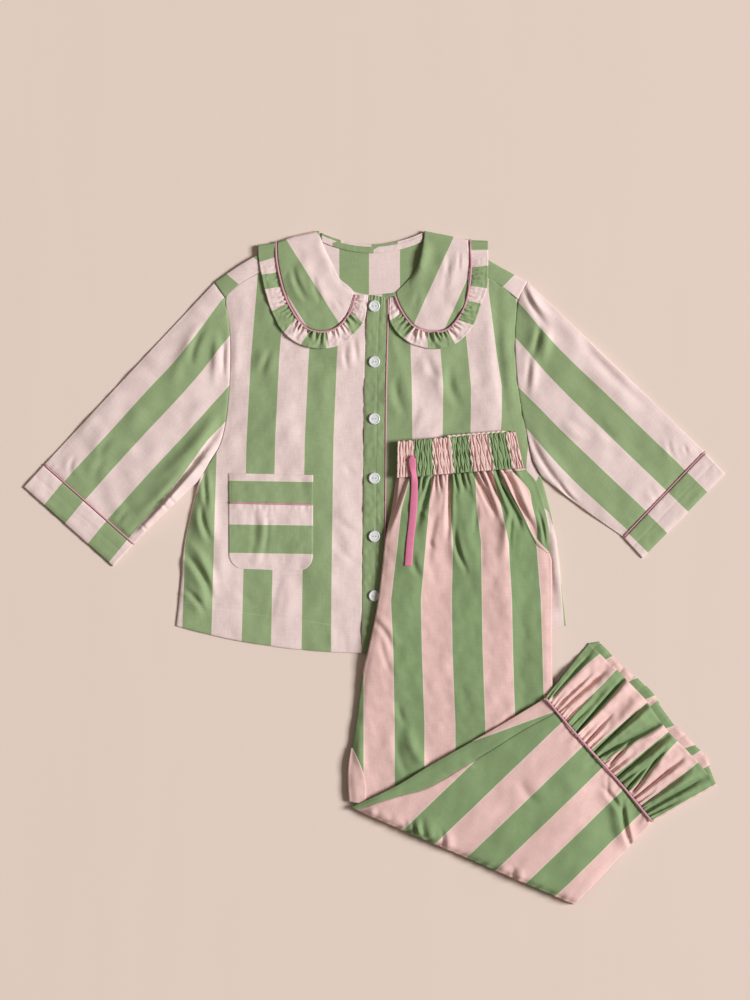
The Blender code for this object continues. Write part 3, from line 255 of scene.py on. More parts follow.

# ---------------------------------------------------------------- creases, placed one by one
FRONT_CREASES = table(
    Crease, (-168, 346, -180, 312, 0, -2.4, 8), (-214, 405, -222, 300, 3, 1.2, 12),
    (-276, 100, -263, 45, 4, -4.6, 6), (-273, 160, -268, 96, 0, -4.0, 5), (-262, 112, -256, 60, 0, 1.6, 7),
    (-300, 20, -262, -45, -5, -5.0, 7), (-292, 36, -258, -22, -4, 2.6, 6),
    (-303, -34, -272, -70, -3, -3.0, 6), (-245, 44, -240, -30, 3, 1.0, 10),
    (-32, 366, -28, 330, 0, -1.8, 5), (-46, 352, -42, 318, 2, -1.4, 5), (-60, 345, -88, 250, 5, 0.8, 16),
    (-150, 300, -140, 190, -4, 0.9, 18), (-60, 80, -22, 54, 3, -0.9, 8), (-62, 40, -24, 4, 3, -0.9, 8),
    (-58, 62, -26, 30, 2, 0.8, 8), (-50, 170, -26, 140, 2, -0.7, 8), (-150, -15, -166, -90, 3, -1.1, 8),
    (-136, -30, -142, -100, 0, 0.8, 9), (-220, -30, -190, -60, 3, -0.7, 9),
    (-70, -95, -66, -130, 0, 0.7, 6), (-48, -100, -46, -132, 0, -0.6, 6), (-90, 20, -84, -80, 4, 0.8, 18),
    (-112, 150, -92, 20, 4, -0.9, 12), (34, 300, 46, 250, 4, -2.2, 9), (46, 320, 60, 262, 2, 1.5, 10),
    (84, 338, 106, 300, 4, -1.6, 9), (120, 320, 136, 258, 5, -2.4, 10), (102, 318, 112, 262, 3, 1.4, 9),
    (152, 330, 166, 240, 3, 1.0, 14), (196, 420, 214, 230, 5, -2.0, 11), (176, 300, 196, 210, 4, 0.9, 14),
    (70, 260, 58, 220, -2, -0.9, 9), (28, 380, 40, 330, 3, 0.9, 8), (270, 60, 286, -40, 3, -1.2, 7),
    (286, 60, 300, -60, 3, 0.8, 6), (284, 88, 300, -55, 0, 2.6, 9), (270, 100, 289, 52, 0, -2.6, 4.0),
    (262, 118, 280, 70, 0, 1.2, 4))
SLEEVE_LEFT_CREASES = table(
    Crease, (-240, 360, -242, 312, 0, -3.1, 5.1), (-252, 372, -256, 300, 0, 1.9, 6),
    (-272, 384, -293, 330, 4, -3.3, 7.6), (-290, 366, -320, 300, 4, 1.6, 8.5),
    (-243, 232, -374, 76, -7, -5, 7.6), (-256, 240, -340, 146, -5, 2.8, 8.5),
    (-300, 150, -392, 52, -3, -2.4, 4.5), (-286, 180, -256, 177, 0, -1.8, 4.2),
    (-262, 178, -380, 44, 4, 2.6, 7.5), (-330, 116, -314, 96, 0, -1.4, 3.6),
    (-341, 106, -328, 90, 0, -1.2, 3.4), (-372, 70, -360, 56, 0, -0.9, 3.4),
    (-418, 210, -440, 176, 4, -2, 8.5), (-430, 176, -448, 142, 3, -1.7, 7.6),
    (-480, 176, -486, 150, 2, -1.9, 5.1), (-340, 280, -400, 210, 6, 1.2, 13.6),
    (-440, 250, -470, 214, 3, 1.1, 10.2), (-330, 214, -400, 140, -6, 1.2, 13.6),
    (-392, 92, -410, 72, 2, -1.7, 5.1), (-262, 268, -300, 230, 3, 1.2, 10.2))
SLEEVE_RIGHT_CREASES = table(
    Crease, (240, 446, 274, 388, 3, -3.2, 6), (244, 448, 280, 404, 4, 2.2, 6),
    (264, 386, 252, 340, -3, -3.6, 6.8), (278, 380, 268, 330, -2, 2, 6.8),
    (248, 340, 242, 290, -2, -1.5, 6), (256, 330, 250, 280, -2, 1.6, 6), (310, 240, 348, 216, 3, -1.4, 6),
    (300, 228, 340, 206, 3, 1.2, 6.8), (322, 380, 432, 262, 7, -2.3, 11),
    (300, 400, 380, 330, 6, 1.2, 11.9), (248, 214, 308, 120, 6, -2.6, 6), (262, 214, 322, 130, 6, 1.2, 9),
    (360, 230, 392, 200, 3, -2, 8.5), (384, 206, 420, 176, 3, 1.2, 10.2), (296, 134, 322, 106, 2, -2.2, 4),
    (470, 204, 480, 172, 2, -1.5, 5), (496, 196, 500, 180, 0, -1.2, 4), (440, 130, 456, 108, 2, -1.4, 5.1))
COLLAR_CREASES = table(
    Crease, (-130, 478, -110, 430, 3, -2.6, 6), (-112, 500, -96, 450, 3, 0.8, 9),
    (-98, 462, -82, 420, 2, -1.8, 6), (-62, 428, -50, 412, 0, -0.6, 5), (118, 500, 112, 446, -2, -1.6, 6),
    (137, 514, 135, 476, 0, -1.8, 3.5), (100, 470, 88, 430, -2, 0.7, 9), (70, 440, 62, 412, 0, -0.6, 5),
    (80, 438, 74, 420, 0, 0.5, 5))
POCKET_CREASES = table(
    Crease, (-182, 100, -188, 10, -6, 1.0, 6), (-194, 96, -200, 10, -6, -0.8, 6),
    (-172, 90, -176, 20, -3, -0.9, 5), (-206, 96, -214, 60, 2, 0.6, 8))
FACING_CREASES = table(
    Crease, (214, 146, 250, 70, 3, -4.4, 4.5), (225, 152, 255, 78, 2, 3.2, 5),
    (262, 90, 272, 40, -2, -3.2, 3.5), (206, 152, 226, 116, 2, 0.9, 3))
LEG_CREASES = table(
    Crease, (128, 62, 146, -2, 4, -4.4, 5), (148, 74, 160, 16, 4, 1.4, 8), (104, 96, 88, 6, 5, -2.0, 8),
    (168, 56, 170, -8, -2, -1.0, 8), (88, 46, 96, 30, 2, -1.4, 5), (62, 20, 74, -14, 4, -2.4, 7),
    (221, 90, 216, 26, 2, -3.6, 5), (229, 86, 234, 62, 0, -1.2, 4), (192, 96, 212, 60, 0, 0.7, 3),
    (164, 106, 161, 56, 0, -1.5, 5), (72, 96, 88, 76, 0, 0.8, 3), (-1, -83, 29, -130, -4, -1.8, 6),
    (6, -78, 36, -122, -4, 1.2, 6), (10, -112, 32, -176, 4, -1.3, 6), (37, -214, 48, -250, 2, -1.7, 7),
    (52, -262, 82, -316, 4, 3.4, 10), (34, -268, 50, -330, 3, -1.6, 9), (210, 30, 214, -120, 3, 1.2, 18),
    (236, -60, 240, -230, 2, -1.0, 14), (150, -130, 168, -230, 4, 0.9, 16),
    (110, -180, 120, -290, -3, -0.8, 14), (228, 90, 222, 20, 2, -2.2, 9), (214, 80, 206, 10, 2, 1.4, 9),
    (-24, -250, -18, -330, 2, 1.2, 7), (190, -250, 230, -210, 3, 1.0, 9))
LEG_TUCKS = table(
    Tuck, (57, 144, 17, 34, 4.0, 3.6, 6.0), (91, 141, 62, 50, -8.0, 2.4, 6.5),
    (120.7, 142, 117.5, 40, -9.5, 2.4, 4.4), (110, 142, 100, 50, 3.4, 5.0, 8.0),
    (132, 142, 140, 60, 3.0, 5.0, 9.0), (163, 144, 196, 80, -10.0, 2.4, 4.6),
    (150, 144, 178, 70, 4.0, 4.0, 8.0), (184, 146, 213, 76, -9.0, 2.6, 4.6),
    (199, 148, 238, 56, -8.0, 2.8, 5.0), (176, 146, 214, 74, 3.6, 4.0, 6.0),
    (70, 142, 68, 120, -4.0, 1.8, 2.4), (79, 142, 75, 116, -4.5, 1.8, 2.6),
    (98, 142, 97, 122, -3.0, 1.6, 2.4), (105, 142, 107, 116, -4.0, 1.8, 2.8),
    (130, 142, 134, 117, -4.5, 1.8, 2.8), (141, 143, 144, 121, -4.5, 1.8, 2.8),
    (149, 143, 156, 122, -3.5, 1.8, 2.6), (173, 146, 180, 128, -3.0, 1.8, 2.4),
    (210, 150, 224, 128, -3.5, 2.0, 3.0), (224, 152, 240, 126, -4.0, 2.0, 3.4))
LOWER_CREASES = table(
    Crease, (397, -376, 410, -446, 3, -6.0, 5), (384, -372, 394, -440, 3, 2.0, 8),
    (366, -352, 396, -392, -2, -3.4, 6), (372, -330, 374, -368, 0, -1.2, 4),
    (84, -434, 77, -398, -3, -2.6, 5), (66, -428, 61, -404, 0, -2.2, 4.5), (76, -432, 70, -404, -2, 1.8, 4),
    (96, -440, 90, -404, -2, 1.6, 6), (107, -452, 108, -418, 3, -3.2, 4), (54, -424, 49, -402, 0, -1.8, 4),
    (118, -458, 120, -424, 2, 1.4, 6), (2, -400, 6, -384, 2, -1.4, 4), (-6, -396, -2, -382, 0, 1.2, 4),
    (26, -410, 28, -392, 0, -1.2, 5), (217, -506, 222, -478, 2, -2.8, 4), (226, -508, 234, -480, 3, 1.8, 5),
    (206, -500, 208, -474, 0, 1.4, 5), (232, -340, 262, -376, 5, -1.4, 10),
    (250, -330, 276, -366, 4, 0.8, 12), (300, -330, 330, -360, 4, 0.9, 12),
    (176, -420, 220, -380, -4, -0.9, 12), (140, -310, 160, -318, 0, 1.0, 6),
    (110, -330, 130, -332, 0, -0.8, 6), (310, -440, 340, -400, -4, -0.8, 12))
PLEATS = table(
    Pleat, (0.03, 0.045, 2.4, 1.5, 0.10, 0.95), (0.085, 0.12, 1.8, 1.6, 0.00, 0.75),
    (0.12, 0.17, 3.0, 1.7, 0.00, 0.95), (0.183, 0.20, 2.2, 1.5, 0.00, 0.60),
    (0.235, 0.225, 2.0, 1.4, 0.00, 0.35), (0.285, 0.264, 5.2, 1.6, 0.00, 1.15),
    (0.33, 0.30, 1.6, 1.6, 0.00, 0.30), (0.37, 0.335, 3.2, 1.8, 0.00, 0.55),
    (0.41, 0.38, 2.0, 1.4, 0.00, 0.30), (0.447, 0.43, 4.4, 1.6, 0.00, 1.10),
    (0.488, 0.56, 4.4, 1.7, 0.00, 1.00), (0.53, 0.50, 2.4, 1.3, 0.00, 0.25),
    (0.57, 0.50, 3.8, 1.6, 0.10, 0.60), (0.60, 0.60, 2.4, 1.5, 0.00, 0.35),
    (0.655, 0.634, 4.0, 1.7, 0.00, 1.05), (0.70, 0.68, 2.6, 1.5, 0.00, 0.30),
    (0.745, 0.66, 3.4, 1.6, 0.00, 0.50), (0.79, 0.655, 4.2, 1.7, 0.10, 0.85),
    (0.82, 0.774, 3.2, 1.5, 0.00, 0.95), (0.855, 0.83, 1.8, 1.4, 0.00, 0.30),
    (0.885, 0.85, 2.8, 1.6, 0.00, 0.90), (0.925, 0.93, 4.4, 1.7, 0.00, 0.90),
    (0.96, 0.985, 2.4, 1.6, 0.00, 0.60))

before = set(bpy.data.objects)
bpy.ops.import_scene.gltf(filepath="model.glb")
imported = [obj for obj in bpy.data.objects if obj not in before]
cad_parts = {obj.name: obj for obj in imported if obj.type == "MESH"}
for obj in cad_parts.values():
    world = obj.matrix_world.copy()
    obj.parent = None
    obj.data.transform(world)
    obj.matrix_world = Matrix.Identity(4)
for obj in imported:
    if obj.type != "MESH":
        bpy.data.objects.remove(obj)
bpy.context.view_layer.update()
materials = {}
forms = {}


# ---------------------------------------------------------------- curves, grids and heights
class Curve:
    """A smooth line through places, read at shares of its length."""

    def __init__(self, places):
        pts = np.array([(p[0], p[1]) for p in places], float)
        if len(pts) > 2:
            ends = np.vstack([2 * pts[0] - pts[1], pts, 2 * pts[-1] - pts[-2]])
            t = np.linspace(0, 1, 12, endpoint=False)[:, None]
            dense = [0.5 * (2 * b + (c - a) * t + (2 * a - 5 * b + 4 * c - d) * t ** 2
                            + (3 * b - a - 3 * c + d) * t ** 3)
                     for a, b, c, d in zip(ends, ends[1:], ends[2:], ends[3:])]
            pts = np.vstack(dense + [pts[-1:]])
        self.pts = pts
        self.run = np.concatenate([[0], np.cumsum(np.linalg.norm(np.diff(pts, axis=0), axis=1))])
        self.length = self.run[-1]

    def __call__(self, share):
        want = np.asarray(share) * self.length
        return np.stack([np.interp(want, self.run, self.pts[:, k]) for k in (0, 1)], axis=-1)


def moved(places, dx, dy=0.0):
    """The places, all moved."""
    return tuple(Place(p[0] + dx, p[1] + dy) for p in places)


def coons(bottom, top, left, right, us, vs):
    """Plan points that fill four curves; rows run from the bottom curve to the top one."""
    b, t, l, r = bottom(us), top(us), left(vs), right(vs)
    u, v = us[None, :, None], vs[:, None, None]
    corners = (1 - u) * ((1 - v) * b[0] + v * t[0]) + u * ((1 - v) * b[-1] + v * t[-1])
    return (1 - v) * b[None] + v * t[None] + (1 - u) * l[:, None] + u * r[:, None] - corners


def steps(count):
    """Even shares from 0 to 1."""
    return np.linspace(0.0, 1.0, count + 1)


def hem(x0, x1):
    """The shirt's curved hem between two sides."""
    xs = np.linspace(x0, x1, 14)
    return Curve([(x, HEM_LOW + HEM_RISE * ((x - CENTRE) / HEM_HALF) ** 2) for x in xs])


def neck_y(x):
    """The back neck's edge."""
    return NECK_BACK + NECK_RISE * ((x - CENTRE) / NECK_HALF) ** 2


def fold_y(x, spots):
    """Where a line of places lies along y, at each x."""
    return np.interp(x, [p.x for p in spots], [p.y for p in spots])


def line_x(y, spots):
    """Where a line of places, listed downwards, lies along x, at each y."""
    return np.interp(y, [p.y for p in spots[::-1]], [p.x for p in spots[::-1]])


def bell(distance, width=1.0):
    """1 on a line, fading softly away from it."""
    return np.exp(-(distance / width) ** 2)


def span(first, second, shares):
    """Plan points between two lines that run the same way, one row for each place along them."""
    return first[:, None] * (1 - shares)[None, :, None] + second[:, None] * shares[None, :, None]


def under_collar(x, y):
    """How far the hidden collar lifts the upper back."""
    away = np.hypot((x - CENTRE) / 200.0, (y - COLLAR_CENTRE) / 128.0)
    share = np.clip((1.5 - away) / 0.5, 0.0, 1.0)
    return COLLAR_LIFT * share * share * (3 - 2 * share)


def blur(a, radius):
    """A soft average over a few cells, with nothing outside."""
    reach = int(math.ceil(2.6 * radius))
    weights = np.exp(-0.5 * (np.arange(-reach, reach + 1) / radius) ** 2)
    weights /= weights.sum()
    for axis in (0, 1):
        pad = [(reach, reach) if k == axis else (0, 0) for k in (0, 1)]
        wide = np.pad(a, pad)
        parts = [np.take(wide, range(i, i + a.shape[axis]), axis=axis) for i in range(len(weights))]
        a = sum(w * part for w, part in zip(weights, parts))
    return a


def even(values, reach):
    """The values of a line, smoothed along it."""
    weights = np.hanning(2 * reach + 3)
    return np.convolve(np.pad(values, reach + 1, mode="edge"), weights / weights.sum(), mode="valid")


class Form:
    """A solid's top, or its underside, as a smooth height map."""
    CELL = 3.0

    def __init__(self, node, soften=6.0, below=False):
        low, high = (np.array(c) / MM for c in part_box(node))
        self.x0, self.y0 = low[0] - 15, low[1] - 15
        cols = int((high[0] - low[0] + 30) / self.CELL) + 1
        rows = int((high[1] - low[1] + 30) / self.CELL) + 1
        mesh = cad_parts[node].data
        tree = BVHTree.FromPolygons([v.co for v in mesh.vertices], [p.vertices for p in mesh.polygons])
        start, way = (low[2] - 5.0, 1.0) if below else (high[2] + 5.0, -1.0)
        z, seen = np.zeros((rows, cols)), np.zeros((rows, cols))
        for j in range(rows):
            for i in range(cols):
                place = Vector(((self.x0 + i * self.CELL) * MM, (self.y0 + j * self.CELL) * MM, start * MM))
                hit = tree.ray_cast(place, Vector((0, 0, way)))[0]
                if hit is not None:
                    z[j, i] = hit.z / MM
                    seen[j, i] = 1.0
        near = blur(seen, soften / self.CELL)
        wide = blur(seen, 6.0)
        far = blur(z * seen, 6.0) / np.maximum(wide, 1e-6)
        fine = blur(z * seen, soften / self.CELL) / np.maximum(near, 1e-6)
        self.z = np.where(near > 0.02, fine, far)

    def __call__(self, x, y):
        fx = np.clip((np.asarray(x) - self.x0) / self.CELL, 0, self.z.shape[1] - 1.001)
        fy = np.clip((np.asarray(y) - self.y0) / self.CELL, 0, self.z.shape[0] - 1.001)
        i, j = fx.astype(int), fy.astype(int)
        a, b = fx - i, fy - j
        near = self.z[j, i] * (1 - a) + self.z[j, i + 1] * a
        far = self.z[j + 1, i] * (1 - a) + self.z[j + 1, i + 1] * a
        return near * (1 - b) + far * b


def creases(x, y, folds, bank=1.0):
    """Height of the listed creases; bank is how high the sides of a trough rise."""
    total = np.zeros_like(x)
    for c in folds:
        dx, dy = c.x1 - c.x0, c.y1 - c.y0
        long = math.hypot(dx, dy)
        t = ((x - c.x0) * dx + (y - c.y0) * dy) / long ** 2
        inside = np.clip(t, 0.0, 1.0)
        side = ((x - c.x0) * dy - (y - c.y0) * dx) / long - c.bow * 4 * inside * (1 - inside)
        ends = np.sin(np.pi * np.clip((t + 0.15) / 1.3, 0.0, 1.0)) ** 1.2
        u = side / c.width
        shape = bell(u) if c.height > 0 else bank * bell(u, 2.3) - bell(u, 0.8)
        total += abs(c.height) * ends * shape
    return CREASE_GAIN * total


def tucks(x, y, folds):
    """Height of folds that fade away from a seam."""
    total = np.zeros_like(x)
    for c in folds:
        dx, dy = c.x1 - c.x0, c.y1 - c.y0
        long = math.hypot(dx, dy)
        t = np.clip(((x - c.x0) * dx + (y - c.y0) * dy) / long ** 2, 0.0, 1.0)
        u = ((x - c.x0) * dy - (y - c.y0) * dx) / long / (c.start + (c.end - c.start) * t)
        banks = 0.4 * bell(np.abs(u) - 1.9, 1.2)
        shape = bell(u) if c.height > 0 else banks - bell(u)
        total += abs(c.height) * (1 - t) ** 0.8 * shape
    return total


def at_least(z, floor):
    """Heights that never sink below a floor, with a soft turn."""
    return floor + np.logaddexp(0.0, (z - floor) * 1.6) / 1.6


def crumple(x, y, seed, size, height):
    """Low, irregular waves, as in cotton that has been handled."""
    rng = np.random.default_rng(seed)
    total = np.zeros_like(x)
    for _ in range(WAVES):
        angle, long = rng.uniform(0, math.pi), size * rng.uniform(0.6, 1.9)
        first, second = rng.uniform(0, 2 * math.pi, 2)
        ahead = x * math.cos(angle) + y * math.sin(angle)
        aside = y * math.cos(angle) - x * math.sin(angle)
        warp = 1.6 * np.sin(2 * math.pi * aside / (long * 2.1) + second)
        total += np.sin(2 * math.pi * ahead / long + first + warp)
    return CRUMPLE_GAIN * height * total / math.sqrt(WAVES)


def gathers(along, out, count, seed, depth, width, reach, lean=0.3):
    """Narrow troughs and ridges from a seam outwards, each with its own place, depth and length."""
    rng = np.random.default_rng(seed)
    total = np.zeros_like(along)
    for k in range(count):
        at = (k + rng.uniform(0.25, 0.75)) / count
        deep = depth * rng.uniform(0.45, 1.3)
        long = reach * rng.uniform(0.4, 1.25)
        slant = rng.uniform(-lean, lean) / count
        wide = width * rng.uniform(0.7, 1.4) / count
        off = (along - at - slant * out) / (wide * (1 + 1.4 * out))
        fade = np.clip(1 - out / long, 0.0, 1.0) ** 1.2
        total += deep * fade * (0.55 * bell(np.abs(off) - 1.9, 1.1) - bell(off))
    return total


def edge_runs(plan):
    """Distances along rows and columns to the four sides of a grid: left, right, first, last row."""
    across = np.linalg.norm(np.diff(plan, axis=1), axis=2)
    along = np.linalg.norm(np.diff(plan, axis=0), axis=2)
    left = np.concatenate([np.zeros((len(plan), 1)), np.cumsum(across, axis=1)], axis=1)
    first = np.concatenate([np.zeros((1, plan.shape[1])), np.cumsum(along, axis=0)], axis=0)
    return left, left[:, -1:] - left, first, first[-1:] - first


def grid_of(plan, z, stripe, along=None):
    """A grid of x, y, z, stripe and place along the stripe."""
    along = plan[..., 1] / STRIPE if along is None else along
    return np.concatenate([plan, z[..., None], stripe[..., None], along[..., None]], axis=2)


def skirt(grid, side, depth, bulge=0.7, floor=0.3):
    """Carry one side of a grid down in a small round turn: side is left, right, first or last."""
    if side in ("first", "last"):
        turned = skirt(grid.transpose(1, 0, 2), "left" if side == "first" else "right", depth, bulge, floor)
        return turned.transpose(1, 0, 2)
    edge, inner = (grid[:, 0], grid[:, 2]) if side == "left" else (grid[:, -1], grid[:, -3])
    out = edge[:, :2] - inner[:, :2]
    out /= np.maximum(np.linalg.norm(out, axis=1), 1e-6)[:, None]
    columns = []
    for share in (0.25, 0.6, 1.0):
        column = edge.copy()
        column[:, :2] += out * bulge * math.sin(math.pi * min(share, 0.75))
        column[:, 2] = np.maximum(edge[:, 2] - depth * share, floor)
        columns.append(column[:, None])
    if side == "left":
        return np.concatenate(columns[::-1] + [grid], axis=1)
    return np.concatenate([grid] + columns, axis=1)


def skirts(grid, *turns):
    """Several sides of a grid carried down, one after another."""
    for turn in turns:
        grid = skirt(grid, *turn)
    return grid


# ---------------------------------------------------------------- making pieces
def linked(name, data):
    """A new object in the scene."""
    item = bpy.data.objects.new(name, data)
    bpy.context.scene.collection.objects.link(item)
    return item


def dress(item, slot, nodes=()):
    """Give a piece its material and its body, and hide the solids it stands for."""
    if item.type == "CURVE" or not item.data.materials:
        item.data.materials.clear()
        item.data.materials.append(materials[slot])
    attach(item, "root")
    if nodes:
        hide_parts(*nodes)
    return item


def mesh_object(name, verts, faces, uvs=None):
    """A smooth mesh object from points in millimetres."""
    mesh = bpy.data.meshes.new(name)
    mesh.from_pydata((np.asarray(verts) * MM).tolist(), [], faces)
    if uvs is not None:
        layer = mesh.uv_layers.new(name="UVMap")
        index = np.empty(len(mesh.loops), int)
        mesh.loops.foreach_get("vertex_index", index)
        layer.data.foreach_set("uv", np.asarray(uvs)[index].ravel())
    mesh.shade_smooth()
    return linked(name, mesh)


def quads(rows, cols, wrap, start=0):
    """Faces of a grid of points."""
    index = start + np.arange(rows * cols).reshape(rows, cols)
    if wrap:
        index = np.concatenate([index, index[:, :1]], axis=1)
    a, b, c, d = index[:-1, :-1], index[:-1, 1:], index[1:, 1:], index[1:, :-1]
    return np.stack([a, b, c, d], axis=-1).reshape(-1, 4)


def cloth(name, slot, grids, nodes=(), wrap=False, thick=THICK):
    """One or more grids as one piece of cloth, its outer face up, or outward where it wraps."""
    grids = grids if isinstance(grids, list) else [grids]
    verts, faces, uvs, start = [], [], [], 0
    for grid in grids:
        rows, cols = grid.shape[:2]
        points = grid[..., :3].reshape(-1, 3)
        quad = quads(rows, cols, wrap)
        corners = points[quad]
        normals = np.cross(corners[:, 2] - corners[:, 0], corners[:, 3] - corners[:, 1])
        if wrap:
            outward = corners.mean(axis=1) - points.mean(axis=0)
            inside_out = (normals[:, 2] * outward[:, 2]).sum() < 0
        else:
            inside_out = normals[:, 2].sum() < 0
        faces.append((quad[:, ::-1] if inside_out else quad) + start)
        verts.append(points)
        uvs.append(grid[..., 3:].reshape(-1, 2))
        start += len(points)
    item = mesh_object(name, np.concatenate(verts), np.concatenate(faces).tolist(), np.concatenate(uvs))
    wall = item.modifiers.new("wall", "SOLIDIFY")
    wall.thickness = thick * MM
    wall.offset = -1.0
    return dress(item, slot, nodes)


def tube_grid(plan, low, high, stripe, along=None):
    """A flattened tube over a plan: its top from left to right, then its underside back again."""
    left, right, _, _ = edge_runs(plan)
    middle, half = (low + high) / 2, np.maximum((high - low) / 2, 0.3)
    near = np.minimum(left, right)
    turn = np.sqrt(np.clip(1 - np.clip(1 - near / np.maximum(half, 1.2), 0, 1) ** 2, 0, 1))
    top = grid_of(plan, middle + half * turn, stripe, along)
    under = grid_of(plan, middle - half * turn, stripe, along)
    return np.concatenate([top, under[:, -2:0:-1]], axis=1)


def across_shares(count):
    """Shares that crowd towards both ends, for the round turns at a tube's edges."""
    shares = steps(count)
    return shares - 0.9 * np.sin(2 * np.pi * shares) / (2 * np.pi)


def cord_curve(name, slot, points, radius, nodes=(), closed=False):
    """A round cord through points in millimetres."""
    curve = bpy.data.curves.new(name, "CURVE")
    curve.dimensions = "3D"
    curve.bevel_depth = radius * MM
    curve.bevel_resolution = 3
    curve.use_fill_caps = not closed
    spline = curve.splines.new("POLY")
    spline.points.add(len(points) - 1)
    places = np.hstack([np.asarray(points) * MM, np.ones((len(points), 1))])
    spline.points.foreach_set("co", places.ravel())
    spline.use_cyclic_u = closed
    return dress(linked(name, curve), slot, nodes)


def stitches(name, lines, slot="stitches", pitch=3.4, long=2.3, wide=0.55):
    """Rows of small raised stitches along lines of points in millimetres; in the seam_shadow slot they are
    dark lines and dots of painted shade.
    """
    verts, faces = [], []
    for line in lines:
        line = np.asarray(line, float)
        run = np.concatenate([[0], np.cumsum(np.linalg.norm(np.diff(line, axis=0), axis=1))])
        for at in np.arange(pitch, run[-1] - pitch, pitch):
            centre = np.array([np.interp(at, run, line[:, k]) for k in range(3)])
            ahead = np.array([np.interp(at + 1, run, line[:, k]) for k in range(3)]) - centre
            ahead /= max(np.linalg.norm(ahead), 1e-6)
            side = np.array([-ahead[1], ahead[0], 0.0])
            start = len(verts)
            verts += [centre - ahead * long / 2, centre + side * wide / 2, centre + ahead * long / 2,
                      centre - side * wide / 2, centre + (0, 0, 0.35), centre - (0, 0, 0.3)]
            ring = [start, start + 1, start + 2, start + 3]
            for a, b in zip(ring, ring[1:] + ring[:1]):
                faces += [(b, a, start + 4), (a, b, start + 5)]
    return dress(mesh_object(name, verts, faces), slot)


# ---------------------------------------------------------------- materials
class Nodes:
    """Short calls for building one material."""

    def __init__(self, name):
        self.made = bpy.data.materials.new(name)
        self.made.use_nodes = True
        self.tree = self.made.node_tree
        self.shader = self.tree.nodes["Principled BSDF"]

    def add(self, kind, **settings):
        node = self.tree.nodes.new(kind)
        for key, value in settings.items():
            setattr(node, key, value)
        return node

    def link(self, source, target):
        self.tree.links.new(source, target)

    def math(self, operation, a, b=0.0):
        node = self.add("ShaderNodeMath", operation=operation)
        for socket, value in zip(node.inputs, (a, b)):
            if isinstance(value, (int, float)):
                socket.default_value = value
            else:
                self.link(value, socket)
        return node.outputs[0]

    def mix(self, factor, a, b, blend="MIX"):
        node = self.add("ShaderNodeMix", data_type="RGBA", blend_type=blend)
        for socket, value in ((node.inputs[0], factor), (node.inputs[6], a), (node.inputs[7], b)):
            if isinstance(value, (int, float)):
                socket.default_value = value
            elif isinstance(value, tuple):
                socket.default_value = (*value, 1.0)
            else:
                self.link(value, socket)
        return node.outputs[2]

    def noise(self, vector, scale, detail=3.0, stretch=(1, 1, 1)):
        mapping = self.add("ShaderNodeMapping")
        mapping.inputs["Scale"].default_value = stretch
        self.link(vector, mapping.inputs["Vector"])
        node = self.add("ShaderNodeTexNoise")
        node.inputs["Scale"].default_value = scale
        node.inputs["Detail"].default_value = detail
        self.link(mapping.outputs[0], node.inputs["Vector"])
        return node.outputs["Fac"]

    def bump(self, height, strength, distance, normal=None):
        node = self.add("ShaderNodeBump")
        node.inputs["Strength"].default_value = strength
        node.inputs["Distance"].default_value = distance
        self.link(height, node.inputs["Height"])
        if normal is not None:
            self.link(normal, node.inputs["Normal"])
        return node.outputs["Normal"]


def weave_height(n, uv, threads):
    """Over-and-under threads of a plain weave, from two crossing waves."""
    split = n.add("ShaderNodeSeparateXYZ")
    n.link(uv, split.inputs[0])
    over = n.math("SINE", n.math("MULTIPLY", split.outputs[0], threads * 2 * math.pi))
    under = n.math("SINE", n.math("MULTIPLY", split.outputs[1], threads * 2 * math.pi))
    return split, n.math("MULTIPLY", over, under)


def shade_variation(n, colour, uv, position):
    """Slubs along both threads and soft blotches, as in washed cotton."""
    warp = n.noise(uv, 30.0, 3.0, (1.3, 0.10, 1.0))
    weft = n.noise(uv, 30.0, 3.0, (0.10, 1.3, 1.0))
    wide_warp = n.noise(uv, 13.0, 4.0, (1.3, 0.12, 1.0))
    wide_weft = n.noise(uv, 13.0, 4.0, (0.12, 1.3, 1.0))
    fine = n.math("MULTIPLY", n.math("ADD", warp, weft), 0.18)
    wide = n.math("MULTIPLY", n.math("ADD", wide_warp, wide_weft), 0.12)
    slub = n.math("ADD", n.math("ADD", fine, wide), 0.70)
    blotch = n.math("ADD", n.math("MULTIPLY", n.noise(position, 16.0, 4.0), 0.18), 0.91)
    shade = n.add("ShaderNodeCombineColor")
    for socket in shade.inputs[:3]:
        n.link(n.math("MULTIPLY", slub, blotch), socket)
    return n.mix(1.0, colour, shade.outputs[0], "MULTIPLY")


def striped_cotton(name, green, pink, line=0.014):
    """Plain-weave cotton with printed stripes, each with a fine cream line along its edge."""
    n = Nodes(name)
    coords = n.add("ShaderNodeTexCoord")
    uv = coords.outputs["UV"]
    split, weave = weave_height(n, uv, STRIPE / 0.7)
    stripe = split.outputs[0]
    odd = n.math("GREATER_THAN", n.math("FRACT", n.math("MULTIPLY", stripe, 0.5)), 0.5)
    edge = n.math("LESS_THAN", n.math("PINGPONG", stripe, 0.5), line)
    colour = n.mix(n.math("MULTIPLY", edge, 0.55), n.mix(odd, pink, green), CREAM)
    n.link(shade_variation(n, colour, uv, coords.outputs["Object"]), n.shader.inputs["Base Color"])
    fine = n.bump(weave, 0.10, 0.0003)
    grain = n.bump(n.noise(coords.outputs["Object"], 320.0, 3.0), 0.5, 0.0005, fine)
    soft = n.bump(n.noise(coords.outputs["Object"], 60.0, 5.0), 0.17, 0.0018, grain)
    n.link(soft, n.shader.inputs["Normal"])
    n.shader.inputs["Roughness"].default_value = 0.86
    n.shader.inputs["Sheen Weight"].default_value = 0.12
    n.shader.inputs["Sheen Roughness"].default_value = 0.5
    n.shader.inputs["Specular IOR Level"].default_value = 0.25
    return n.made


